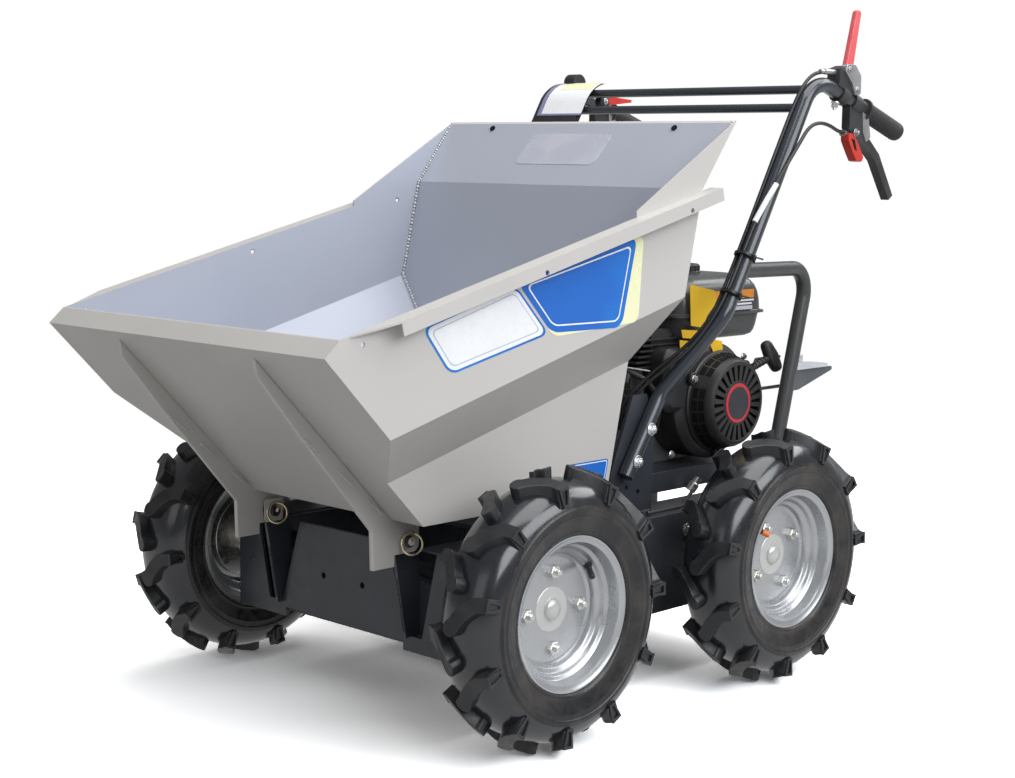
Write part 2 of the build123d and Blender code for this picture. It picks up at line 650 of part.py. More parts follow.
# The axle housings are tubes between the rails, with a bearing flange against each rail's outer face.
for axle, y, turn in AXLES:
    with BuildPart() as housing:
        with BuildSketch(Plane.YZ):
            with Locations((y, AXLE_Z)):
                Circle(AXLE_TUBE_R)
        extrude(amount=RAIL_X)
        with BuildSketch(Plane.YZ.offset(RAIL_X)):
            with Locations((y, AXLE_Z)):
                Circle(BEARING_R)
        extrude(amount=BEARING_THICKNESS)
        with BuildSketch(Plane.YZ):
            with Locations((y, AXLE_Z)):
                Circle(SHAFT_R + RUNNING_FIT)
        extrude(amount=RAIL_X + BEARING_THICKNESS, mode=Mode.SUBTRACT)
        mirror(about=Plane.YZ)
    housing.part.label = f"axle_housing_{axle}"
    export_step(housing.part, f"parts/axle_housing_{axle}.step")

with BuildPart() as gearbox:
    with BuildSketch(Plane.XY.offset(RAIL_BOTTOM + 2)):
        with Locations((0, AXLES[1][1])):
            RectangleRounded(GEARBOX_WIDTH, GEARBOX_LENGTH, 16)
    extrude(amount=GEARBOX_HEIGHT)
    with BuildSketch(Plane.YZ):
        with Locations((AXLES[1][1], AXLE_Z)):
            Circle(AXLE_TUBE_R)
    extrude(amount=GEARBOX_WIDTH, both=True, mode=Mode.SUBTRACT)
    with BuildSketch(Plane.YZ.offset(-GEARBOX_WIDTH / 2)):
        with Locations((AXLES[1][1], BELT_LOWER_Z)):
            Circle(INPUT_SHAFT_R)
    extrude(amount=BELT_X + GEARBOX_WIDTH / 2)
    gearbox_front = AXLES[1][1] - GEARBOX_LENGTH / 2
    with BuildSketch(Plane.XZ.offset(-gearbox_front)):
        with Locations(*[(x, z) for name, x, z in GLANDS]):
            RegularPolygon(GLAND_R, 6)
    extrude(amount=GLAND_LENGTH)
gearbox.part.label = "gearbox"
export_step(gearbox.part, "parts/gearbox.step")

# The lowered skip lies on rubber buffers, on a folded bridge between the rails.
bridge_front = Plane.XZ.offset(-REST_Y - REST_DEPTH / 2)
buffer_top = FLOOR_Z - SEAT_GAP
bridge_top = buffer_top - BUFFER_HEIGHT
with BuildPart() as skip_rest:
    with BuildSketch(bridge_front):
        with BuildLine():
            Polyline(
                (-REST_FOOT_X, RAIL_TOP + REST_SHEET / 2),
                (-REST_HALF - 20, RAIL_TOP + REST_SHEET / 2),
                (-REST_HALF, bridge_top - REST_SHEET / 2),
                (REST_HALF, bridge_top - REST_SHEET / 2),
                (REST_HALF + 20, RAIL_TOP + REST_SHEET / 2),
                (REST_FOOT_X, RAIL_TOP + REST_SHEET / 2),
            )
        trace(line_width=REST_SHEET)
    extrude(amount=REST_DEPTH)
skip_rest.part.label = "skip_rest"
export_step(skip_rest.part, "parts/skip_rest.step")

with BuildPart() as skip_buffers:
    with BuildSketch(Plane.XY.offset(bridge_top)):
        with Locations((BUFFER_X, REST_Y), (-BUFFER_X, REST_Y)):
            Circle(BUFFER_R)
    extrude(amount=BUFFER_HEIGHT)
skip_buffers.part.label = "skip_buffers"
export_step(skip_buffers.part, "parts/skip_buffers.step")

# ---- engine --------------------------------------------------------------------------------------------
with BuildPart() as engine_tray:
    with BuildSketch(Plane.XZ.offset(-TRAY_REAR)):
        with BuildLine():
            Polyline(
                (-TRAY_HALF + TRAY_SHEET / 2, TRAY_BOTTOM),
                (-TRAY_HALF + TRAY_SHEET / 2, TRAY_TOP - TRAY_SHEET / 2),
                (TRAY_HALF - TRAY_SHEET / 2, TRAY_TOP - TRAY_SHEET / 2),
                (TRAY_HALF - TRAY_SHEET / 2, TRAY_BOTTOM),
            )
        trace(line_width=TRAY_SHEET)
    extrude(amount=TRAY_REAR - TRAY_FRONT)
    for y in (TRAY_FRONT + 20, TRAY_REAR - 20):
        with BuildSketch(Plane.XY.offset(RAIL_TOP)):
            with Locations((TRAY_HALF - 12, y), (12 - TRAY_HALF, y)):
                Rectangle(24, 40)
        extrude(amount=TRAY_TOP - TRAY_SHEET - RAIL_TOP)
    with BuildSketch(Plane.XY.offset(TRAY_TOP)):
        with Locations((BELT_X + BELT_GAP, (CRANK_Y + AXLES[1][1]) / 2)):
            Rectangle(BELT_DEPTH + 2 * BELT_GAP, 2 * (BELT_UPPER_R + BELT_GAP), align=(Align.MAX, Align.CENTER))
    extrude(amount=-TRAY_SHEET, mode=Mode.SUBTRACT)
engine_tray.part.label = "engine_tray"
export_step(engine_tray.part, "parts/engine_tray.step")

# The cylinder leans forward; its fins stand square to its axis.
cylinder_plane = Plane(
    origin=(0, CRANK_Y, CRANK_Z),
    x_dir=(1, 0, 0),
    z_dir=(0, -cos(radians(CYLINDER_TILT)), sin(radians(CYLINDER_TILT))),
)
with BuildPart() as crankcase:
    with BuildSketch(Plane.YZ.offset(CASE_FAR_X)):
        with BuildLine():
            Polyline(
                (CRANK_Y - CASE_FRONT, TRAY_TOP),
                (CRANK_Y + CASE_REAR, TRAY_TOP),
                (CRANK_Y + CASE_REAR, CRANK_Z + CASE_HEIGHT - 46),
                (CRANK_Y + CASE_TOP_HALF, CRANK_Z + CASE_HEIGHT),
                (CRANK_Y - CASE_TOP_HALF, CRANK_Z + CASE_HEIGHT),
                (CRANK_Y - CASE_FRONT, CRANK_Z - 20),
                close=True,
            )
        make_face()
        fillet(vertices().group_by(Axis.Y)[-1], radius=18)
    extrude(amount=CASE_NEAR_X - CASE_FAR_X)
    with BuildSketch(cylinder_plane):
        with Locations((CYLINDER_X, 0)):
            Rectangle(CYLINDER_WIDTH, CYLINDER_WIDTH)
    extrude(amount=CYLINDER_LENGTH)
    for i in range(FIN_COUNT):
        with BuildSketch(cylinder_plane.offset(CYLINDER_LENGTH - FIN_PITCH * (i + 1))):
            with Locations((CYLINDER_X, 0)):
                RectangleRounded(FIN_WIDTH, FIN_WIDTH, 8)
        extrude(amount=FIN_THICKNESS)
    with BuildSketch(Plane.YZ.offset(CASE_FAR_X)):
        with Locations((CRANK_Y, CRANK_Z)):
            Circle(CRANK_R)
    extrude(amount=-CRANK_LENGTH)
crankcase.part.label = "crankcase"
export_step(crankcase.part, "parts/crankcase.step")

with BuildPart() as cylinder_head:
    with BuildSketch(cylinder_plane.offset(CYLINDER_LENGTH)):
        with Locations((CYLINDER_X, 0)):
            RectangleRounded(FIN_WIDTH, FIN_WIDTH, 8)
    extrude(amount=HEAD_HEIGHT)
    with BuildSketch(cylinder_plane.offset(CYLINDER_LENGTH + HEAD_HEIGHT)):
        with Locations((CYLINDER_X, 0)):
            RectangleRounded(FIN_WIDTH - 22, FIN_WIDTH - 34, 12)
    extrude(amount=ROCKER_HEIGHT, taper=8)
cylinder_head.part.label = "cylinder_head"
export_step(cylinder_head.part, "parts/cylinder_head.step")

with BuildPart() as fan_housing:
    with BuildSketch(Plane.YZ.offset(FAN_BACK_X)):
        with Locations((CRANK_Y, CRANK_Z)):
            Circle(FAN_R)
        with Locations((FAN_SCROLL_FRONT, FAN_SCROLL_TOP)):
            RectangleRounded(
                CRANK_Y + 20 - FAN_SCROLL_FRONT, FAN_R + 10, 22, align=(Align.MIN, Align.MAX)
            )
    extrude(amount=RECOIL_BACK_X - FAN_BACK_X)
    chamfer(faces().sort_by(Axis.X)[-1].edges(), length=FAN_CHAMFER)
fan_housing.part.label = "fan_housing"
export_step(fan_housing.part, "parts/fan_housing.step")

with BuildPart() as recoil_starter:
    with BuildSketch(Plane.XY.offset(CRANK_Z)):
        Polygon(
            (RECOIL_BACK_X, CRANK_Y),
            (RECOIL_BACK_X, CRANK_Y + RECOIL_R),
            (RECOIL_X - 12, CRANK_Y + RECOIL_R - 3),
            (RECOIL_X, CRANK_Y + RECOIL_R - 16),
            (RECOIL_X, CRANK_Y),
            align=None,
        )
    revolve(axis=Axis(origin=(0, CRANK_Y, CRANK_Z), direction=(1, 0, 0)))
    with BuildSketch(Plane.YZ.offset(RECOIL_X)):
        with Locations((CRANK_Y, CRANK_Z)):
            with PolarLocations((RECOIL_FACE_R + RECOIL_BADGE_R) / 2 + 3, RECOIL_SLOTS):
                Rectangle(RECOIL_FACE_R - RECOIL_BADGE_R - 6, RECOIL_SLOT_WIDTH)
    extrude(amount=-RECOIL_SLOT_DEPTH, mode=Mode.SUBTRACT)
recoil_starter.part.label = "recoil_starter"
export_step(recoil_starter.part, "parts/recoil_starter.step")

with BuildPart() as pull_handle:
    with BuildLine() as rope_line:
        Line(PULL_ROPE[0], PULL_ROPE[1])
    with BuildSketch(Plane(origin=PULL_ROPE[0], z_dir=rope_line.line % 0)):
        Circle(PULL_NECK_R)
    sweep()
    add(recoil_starter.part, mode=Mode.SUBTRACT)
    with BuildSketch(Plane(origin=PULL_BAR[0], z_dir=Vector(*PULL_BAR[1]) - Vector(*PULL_BAR[0]))):
        Circle(PULL_BAR_R)
    extrude(amount=(Vector(*PULL_BAR[1]) - Vector(*PULL_BAR[0])).length)
pull_handle.part.label = "pull_handle"
export_step(pull_handle.part, "parts/pull_handle.step")

tank_centre = ((TANK_NEAR_X + TANK_FAR_X) / 2, (TANK_FRONT_Y + TANK_REAR_Y) / 2)
tank_size = (TANK_NEAR_X - TANK_FAR_X, TANK_REAR_Y - TANK_FRONT_Y)
with BuildPart() as fuel_tank:
    with BuildSketch(Plane.XY.offset(TANK_SEAM)):
        with Locations(tank_centre):
            RectangleRounded(*tank_size, TANK_CORNER_R)
    extrude(amount=TANK_TOP - TANK_SEAM, taper=7)
    chamfer(faces().sort_by(Axis.Z)[-1].edges(), length=TANK_CHAMFER)
    with BuildSketch(Plane.XY.offset(TANK_SEAM)):
        with Locations(tank_centre):
            RectangleRounded(*tank_size, TANK_CORNER_R)
    extrude(amount=TANK_BOTTOM - TANK_SEAM, taper=5)
    with BuildSketch(Plane.XY.offset(TANK_SEAM - 1.5)):
        with Locations(tank_centre):
            RectangleRounded(tank_size[0] + 16, tank_size[1] + 16, TANK_CORNER_R + 8)
    extrude(amount=3)
    with BuildSketch(Plane.XY.offset(CRANK_Z + CASE_HEIGHT)):
        with Locations(tank_centre):
            Rectangle(TANK_POST, TANK_POST)
    extrude(amount=TANK_BOTTOM - CRANK_Z - CASE_HEIGHT)
fuel_tank.part.label = "fuel_tank"
export_step(fuel_tank.part, "parts/fuel_tank.step")

with BuildPart() as fuel_cap:
    with BuildSketch(Plane.XY.offset(TANK_TOP)):
        with Locations(tank_centre):
            Circle(CAP_R)
    extrude(amount=CAP_HEIGHT)
fuel_cap.part.label = "fuel_cap"
export_step(fuel_cap.part, "parts/fuel_cap.step")

with BuildPart() as air_filter:
    with BuildSketch(Plane.XY.offset(FILTER_BOTTOM)):
        with Locations(FILTER_PLACE):
            RectangleRounded(*FILTER_SIZE, 20)
    extrude(amount=FILTER_HEIGHT)
    chamfer(faces().sort_by(Axis.Z)[-1].edges(), length=BOX_CHAMFER)
    with BuildSketch(Plane.YZ.offset(CYLINDER_X + FIN_WIDTH / 2)):
        with Locations((FILTER_PLACE[1] + 27, FILTER_BOTTOM)):
            Rectangle(CARBURETTOR[1], CARBURETTOR[2], align=(Align.CENTER, Align.MAX))
    extrude(amount=CARBURETTOR[0])
air_filter.part.label = "air_filter"
export_step(air_filter.part, "parts/air_filter.step")

with BuildPart() as silencer:
    with BuildSketch(Plane.XY.offset(SILENCER_BOTTOM)):
        with Locations(SILENCER_PLACE):
            RectangleRounded(*SILENCER_SIZE, 16)
    extrude(amount=SILENCER_HEIGHT)
    chamfer(faces().sort_by(Axis.Z)[-1].edges(), length=BOX_CHAMFER)
    with BuildSketch(Plane.YZ.offset(CYLINDER_X - FIN_WIDTH / 2)):
        with Locations((SILENCER_PLACE[1] + 24, SILENCER_BOTTOM)):
            Rectangle(EXHAUST[1], EXHAUST[2], align=(Align.CENTER, Align.MAX))
    extrude(amount=-EXHAUST[0])
silencer.part.label = "silencer"
export_step(silencer.part, "parts/silencer.step")

with BuildPart() as belt_cover:
    with BuildSketch(Plane.YZ.offset(BELT_X)):
        with Locations((CRANK_Y, CRANK_Z)):
            Circle(BELT_UPPER_R)
        with Locations((AXLES[1][1], BELT_LOWER_Z)):
            Circle(BELT_LOWER_R)
        make_hull()
    extrude(amount=-BELT_DEPTH)
    chamfer(faces().sort_by(Axis.X)[0].edges(), length=BELT_CHAMFER)
belt_cover.part.label = "belt_cover"
export_step(belt_cover.part, "parts/belt_cover.step")

# ---- handlebars ----------------------------------------------------------------------------------------
# The tube's centre line as (y, z): the lower two points lie on the bracket, the rest further out.
bar_low, bar_high = BAR_ROUTE[:2], BAR_ROUTE[2:]
grip_run = Vector(0, *BAR_ROUTE[-1]) - Vector(0, *BAR_ROUTE[-2])
grip_slope = grip_run.normalized()


def on_bar(y: float) -> tuple[float, float]:
    """The (y, z) of the handlebar's straight upper end at this y."""
    return (y, BAR_ROUTE[-1][1] + (y - BAR_ROUTE[-1][0]) * grip_slope.Z / grip_slope.Y)


for side, sign in SIDES:
    route = [(sign * BAR_LOW_X, *p) for p in bar_low] + [(sign * BAR_X, *p) for p in bar_high]
    with BuildPart() as bracket:
        with BuildSketch(Plane.YZ.offset(sign * BRACKET_X)):
            Polygon(*BRACKET_OUTLINE, align=None)
        extrude(amount=BRACKET_THICKNESS / 2, both=True)
        with BuildSketch(Plane.YZ.offset(sign * BRACKET_X)):
            with Locations(*BRACKET_HOLES):
                Circle(BRACKET_HOLE_R)
        extrude(amount=BRACKET_THICKNESS, both=True, mode=Mode.SUBTRACT)
    bracket.part.label = f"handlebar_bracket_{side}"
    export_step(bracket.part, f"parts/handlebar_bracket_{side}.step")

    with BuildPart() as handlebar:
        with BuildLine() as bar_line:
            FilletPolyline(*route, radius=BAR_BEND_R)
        with BuildSketch(Plane(origin=bar_line.line @ 0, z_dir=bar_line.line % 0)):
            Circle(TUBE_R)
        sweep()
        with BuildSketch(Plane.YZ.offset(sign * BAR_LOW_X)):
            with Locations(*BRACKET_BOLTS):
                Circle(BRACKET_BOLT_R)
        extrude(amount=sign * (TUBE_R + 4))
    handlebar.part.label = f"handlebar_{side}"
    export_step(handlebar.part, f"parts/handlebar_{side}.step")

    grip_start = Vector(sign * BAR_X, *BAR_ROUTE[-1]) - grip_slope * (GRIP_LENGTH - GRIP_CAP)
    with BuildPart() as grip:
        with BuildSketch(Plane(origin=grip_start, z_dir=grip_slope)):
            Circle(GRIP_R)
        extrude(amount=GRIP_LENGTH)
        with BuildSketch(Plane(origin=grip_start, z_dir=grip_slope)):
            Circle(TUBE_R + GRIP_FIT)
        extrude(amount=GRIP_LENGTH - GRIP_CAP + GRIP_FIT, mode=Mode.SUBTRACT)
    grip.part.label = f"grip_{side}"
    export_step(grip.part, f"parts/grip_{side}.step")

    guard_route = (
        (sign * BAR_X, *GUARD_ROUTE[0]),
        (sign * GUARD_X, *GUARD_ROUTE[1]),
        (sign * GUARD_X, *GUARD_ROUTE[2]),
    )
    with BuildPart() as guard:
        with BuildLine() as guard_line:
            FilletPolyline(*guard_route, radius=GUARD_BEND_R)
        with BuildSketch(Plane(origin=guard_line.line @ 0, z_dir=guard_line.line % 0)):
            Circle(TUBE_R)
        sweep()
        with BuildSketch(Plane(origin=bar_line.line @ 0, z_dir=bar_line.line % 0)):
            Circle(TUBE_R + GUARD_WELD_GAP)
        sweep(path=bar_line.line, mode=Mode.SUBTRACT)
        with BuildSketch(Plane.XY.offset(RAIL_TOP)):
            with Locations((sign * (GUARD_X - 12), GUARD_ROUTE[2][0])):
                Rectangle(GUARD_FOOT[0], GUARD_FOOT[1])
        extrude(amount=GUARD_FOOT[2])
        split(bisect_by=Plane.XY.offset(RAIL_TOP), keep=Keep.TOP)
    guard.part.label = f"guard_{side}"
    export_step(guard.part, f"parts/guard_{side}.step")

    # Steering lever: a clamp on the tube with an ear below, and a blade that reaches back under the grip.
    lever_plane = Plane.YZ.offset(sign * BAR_X)
    clamp_y, clamp_z = on_bar(STEERING_CLAMP_Y)
    clamp_point = (sign * BAR_X, clamp_y, clamp_z)
    with BuildPart() as steering:
        with BuildSketch(lever_plane):
            Polygon(*STEERING_EAR, align=None)
            Polygon(*STEERING_BLADE, align=None)
        extrude(amount=STEERING_THICKNESS / 2, both=True)
        with BuildSketch(Plane(origin=clamp_point, z_dir=grip_slope)):
            Circle(TUBE_R + CLAMP_WALL)
        extrude(amount=CLAMP_WIDTH / 2, both=True)
        with BuildSketch(Plane(origin=clamp_point, z_dir=grip_slope)):
            Circle(TUBE_R)
        extrude(amount=2 * CLAMP_WIDTH, both=True, mode=Mode.SUBTRACT)
    steering.part.label = f"steering_lever_{side}"
    export_step(steering.part, f"parts/steering_lever_{side}.step")

with BuildPart() as cross_bars:
    for y, z in CROSSBARS:
        with BuildSketch(Plane.YZ.offset(-BAR_X)):
            with Locations((y, z)):
                Circle(CROSSBAR_R)
        extrude(amount=2 * BAR_X)
    add(handlebar.part, mode=Mode.SUBTRACT)
    add(mirror(handlebar.part, about=Plane.YZ, mode=Mode.PRIVATE), mode=Mode.SUBTRACT)
cross_bars.part.label = "cross_bars"
export_step(cross_bars.part, "parts/cross_bars.step")

drive_point = (BAR_X, *on_bar(DRIVE_CLAMP_Y))
with BuildPart() as drive_clamp:
    with BuildSketch(Plane.YZ.offset(BAR_X)):
        Polygon(*DRIVE_TOWER, align=None)
    extrude(amount=DRIVE_TOWER_WIDTH / 2, both=True)
    with BuildSketch(Plane(origin=drive_point, z_dir=grip_slope)):
        Circle(TUBE_R + CLAMP_WALL)
    extrude(amount=CLAMP_WIDTH / 2, both=True)
    with BuildSketch(Plane(origin=drive_point, z_dir=grip_slope)):
        Circle(TUBE_R)
    extrude(amount=2 * CLAMP_WIDTH, both=True, mode=Mode.SUBTRACT)
drive_clamp.part.label = "drive_clamp"
export_step(drive_clamp.part, "parts/drive_clamp.step")

with BuildPart() as drive_lever:
    with BuildSketch(Plane.YZ.offset(BAR_X)):
        Polygon(*DRIVE_BLADE, align=None)
    extrude(amount=DRIVE_BLADE_THICKNESS / 2, both=True)
    add(drive_clamp.part, mode=Mode.SUBTRACT)
drive_lever.part.label = "drive_lever"
export_step(drive_lever.part, "parts/drive_lever.step")

# The console is a curved sheet over the right tube's bend, with the throttle on it.
bend_centre = (BAR_ROUTE[3][0] + 27.2, BAR_ROUTE[3][1] - 72.4)
console_r = BAR_BEND_R + TUBE_R + CONSOLE_SHEET / 2
bar_rise = (Vector(0, *BAR_ROUTE[3]) - Vector(0, *BAR_ROUTE[2])).normalized()
with BuildPart() as console:
    with BuildSketch(Plane.YZ.offset(-CONSOLE_OUTER_X)):
        with BuildLine():
            wrap = CenterArc(
                center=bend_centre,
                radius=console_r,
                start_angle=CONSOLE_TOP_TURN,
                arc_size=degrees(atan2(bar_rise.Z, bar_rise.Y)) + 90 - CONSOLE_TOP_TURN,
            )
            Line(wrap @ 1, (wrap @ 1) - Vector(bar_rise.Y, bar_rise.Z) * CONSOLE_SKIRT)
        trace(line_width=CONSOLE_SHEET)
    extrude(amount=CONSOLE_OUTER_X - CONSOLE_INNER_X)
console.part.label = "console"
export_step(console.part, "parts/console.step")

with BuildPart() as throttle:
    with BuildSketch(Plane.YZ.offset(-THROTTLE_X)):
        with Locations((bend_centre[0], bend_centre[1] + console_r + CONSOLE_SHEET / 2)):
            Circle(THROTTLE_R)
            Rectangle(4 * THROTTLE_R, 2 * THROTTLE_R, align=(Align.CENTER, Align.MAX), mode=Mode.SUBTRACT)
    extrude(amount=THROTTLE_WIDTH / 2, both=True)
throttle.part.label = "throttle"
export_step(throttle.part, "parts/throttle.step")

# Gear shelf: a plate with a gusset, carried by the left guard, and the gear lever that stands on it.
with BuildPart() as gear_shelf:
    with BuildSketch(Plane.XY.offset(SHELF_TOP)):
        Polygon(
            (SHELF_X[1], SHELF_Y[0]),
            (SHELF_X[1], SHELF_Y[1]),
            (SHELF_X[0], SHELF_Y[1]),
            (SHELF_X[0], SHELF_Y[0] + SHELF_STEP),
            (SHELF_X[1] - 20, SHELF_Y[0] + SHELF_STEP),
            (SHELF_X[1] - 20, SHELF_Y[0]),
            align=None,
        )
    extrude(amount=-SHELF_SHEET)
    with BuildSketch(Plane.YZ.offset(SHELF_X[1])):
        Polygon(
            (SHELF_Y[0], SHELF_TOP),
            (SHELF_Y[1], SHELF_TOP),
            (SHELF_Y[1], SHELF_TOP - 8),
            (SHELF_Y[0], SHELF_TOP - SHELF_GUSSET),
            align=None,
        )
    extrude(amount=-SHELF_SHEET)
    add(mirror(guard.part, about=Plane.YZ, mode=Mode.PRIVATE), mode=Mode.SUBTRACT)
gear_shelf.part.label = "gear_shelf"
export_step(gear_shelf.part, "parts/gear_shelf.step")

with BuildPart() as gear_lever:
    with BuildSketch(Plane.XY.offset(SHELF_TOP)):
        with Locations((SHELF_X[0] + 25, SHELF_Y[1] - 55)):
            Circle(6)
    extrude(amount=14)
gear_lever.part.label = "gear_lever"
export_step(gear_lever.part, "parts/gear_lever.step")

# ---- control cables ------------------------------------------------------------------------------------
# A cable starts on its lever's clamp and ends in its gland, and turns at each of its points on one arc.
tower_front = DRIVE_TOWER[0][0] + (DRIVE_CABLE[0][2] - CABLE_R - DRIVE_TOWER[0][1]) / 7
ear_front = STEERING_EAR[4][0] + (STEERING_EAR[4][1] - STEERING_CABLE[0][2] - CABLE_R) * 2 / 3
starts = {"drive": (BAR_X, tower_front, DRIVE_CABLE[0][2]), "steering": (BAR_X + 2, ear_front, STEERING_CABLE[0][2])}
routes = {"drive": DRIVE_CABLE, "steering": STEERING_CABLE}
for name, gland_x, gland_z in GLANDS:
    end = (gland_x, gearbox_front - GLAND_LENGTH, gland_z)
    points = [Vector(*point) for point in (starts[name], *routes[name], end)]
    radii = []
    with BuildPart() as cable:
        with BuildLine() as path:
            last = points[0]
            for before, point, after in zip(points, points[1:], points[2:]):
                towards, onwards = (before - point).normalized(), (after - point).normalized()
                cut = CABLE_CUT * min((before - point).length, (after - point).length)
                radii.append(cut / tan(radians(180 - towards.get_angle(onwards)) / 2))
                Line(last, point + towards * cut)
                TangentArc(point + towards * cut, point + onwards * cut, tangent=-towards)
                last = point + onwards * cut
            Line(last, points[-1])
        with BuildSketch(Plane(origin=points[0], z_dir=points[1] - points[0])):
            RegularPolygon(CABLE_R, 6)
        sweep()
    print(name, "cable, radii", [round(radius) for radius in radii], "length", round(path.wire().length))
    cable.part.label = f"cable_{name}"
    export_step(cable.part, f"parts/cable_{name}.step")
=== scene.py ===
"""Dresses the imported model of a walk-behind site dumper and sets it in a plain studio.

The machine drives towards -Y and its left side faces +X. Sizes in the classes are millimetres in the model's own
frame, unless a name says otherwise, and MM turns them into Blender's metres.
"""

import json
import logging
import math
from collections.abc import Iterable, Sequence
from dataclasses import dataclass, field
from enum import Enum

import bmesh
import bpy
from mathutils import Matrix, Vector

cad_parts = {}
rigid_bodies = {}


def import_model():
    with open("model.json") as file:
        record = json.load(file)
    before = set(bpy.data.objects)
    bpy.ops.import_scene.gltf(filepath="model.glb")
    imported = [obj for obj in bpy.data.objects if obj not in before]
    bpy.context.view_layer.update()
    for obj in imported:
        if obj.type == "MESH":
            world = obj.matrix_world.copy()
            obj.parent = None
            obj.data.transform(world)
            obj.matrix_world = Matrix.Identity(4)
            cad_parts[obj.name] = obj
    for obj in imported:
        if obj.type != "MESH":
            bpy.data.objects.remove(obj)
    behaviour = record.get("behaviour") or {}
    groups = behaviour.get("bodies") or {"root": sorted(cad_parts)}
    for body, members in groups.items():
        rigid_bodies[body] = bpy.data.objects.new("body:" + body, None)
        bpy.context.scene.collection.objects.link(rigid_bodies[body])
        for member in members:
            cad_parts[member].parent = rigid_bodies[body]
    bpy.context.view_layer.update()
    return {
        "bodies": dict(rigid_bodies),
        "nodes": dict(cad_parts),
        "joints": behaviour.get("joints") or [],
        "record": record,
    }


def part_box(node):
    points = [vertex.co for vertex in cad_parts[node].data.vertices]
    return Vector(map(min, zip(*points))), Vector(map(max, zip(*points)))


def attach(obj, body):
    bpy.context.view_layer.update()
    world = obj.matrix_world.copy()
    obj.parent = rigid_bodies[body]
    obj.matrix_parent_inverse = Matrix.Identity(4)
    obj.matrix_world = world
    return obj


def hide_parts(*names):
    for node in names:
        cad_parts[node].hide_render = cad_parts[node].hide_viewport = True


LOG = logging.getLogger("site_dumper")
MM = 0.001
SIDES = (("left", 1), ("right", -1))
AXLES = (("front", 0.0, 40.0), ("rear", 30.0, 140.0))  # name, turn of the bolts and of the valve in degrees
LEFT, REAR, UP = (1.0, 0.0, 0.0), (0.0, 1.0, 0.0), (0.0, 0.0, 1.0)  # the machine's directions
MERGE = 0.01  # millimetres below which two vertices are one
BEND_STEP = 0.12  # radians between the rings of a bent tube

Point = Sequence[float]
Route = Sequence[Point]
Outline = Sequence[tuple[float, float]]
Levels = Sequence[tuple[float, float, float]]
Bead = tuple[Point, Point, float, float]  # start, end, a drop's radius and the distance between drops


class Grain(Enum):
    """The fine relief of a finish."""

    PAINT = "paint"
    BRUSHED = "brushed"
    CAST = "cast"
    RUBBER = "rubber"
    TREAD = "tread"
    SMOOTH = "smooth"


@dataclass(frozen=True)
class Relief:
    """One noise in the relief of a grain."""

    scale: float  # cells per metre
    detail: float
    depth_mm: float
    strength: float
    stretch: Point | None = None  # factors along X, Y and Z


RELIEFS = {
    Grain.PAINT: (Relief(420.0, 2.0, 0.05, 0.35), Relief(34.0, 2.0, 0.5, 0.12)),
    Grain.BRUSHED: (Relief(700.0, 2.0, 0.03, 0.15, (1.0, 1.0, 0.05)),),
    Grain.CAST: (Relief(650.0, 5.0, 0.25, 0.6),),
    Grain.RUBBER: (Relief(420.0, 3.0, 0.1, 0.2),),
    Grain.TREAD: (Relief(260.0, 4.0, 0.12, 0.16),),
    Grain.SMOOTH: (),
}


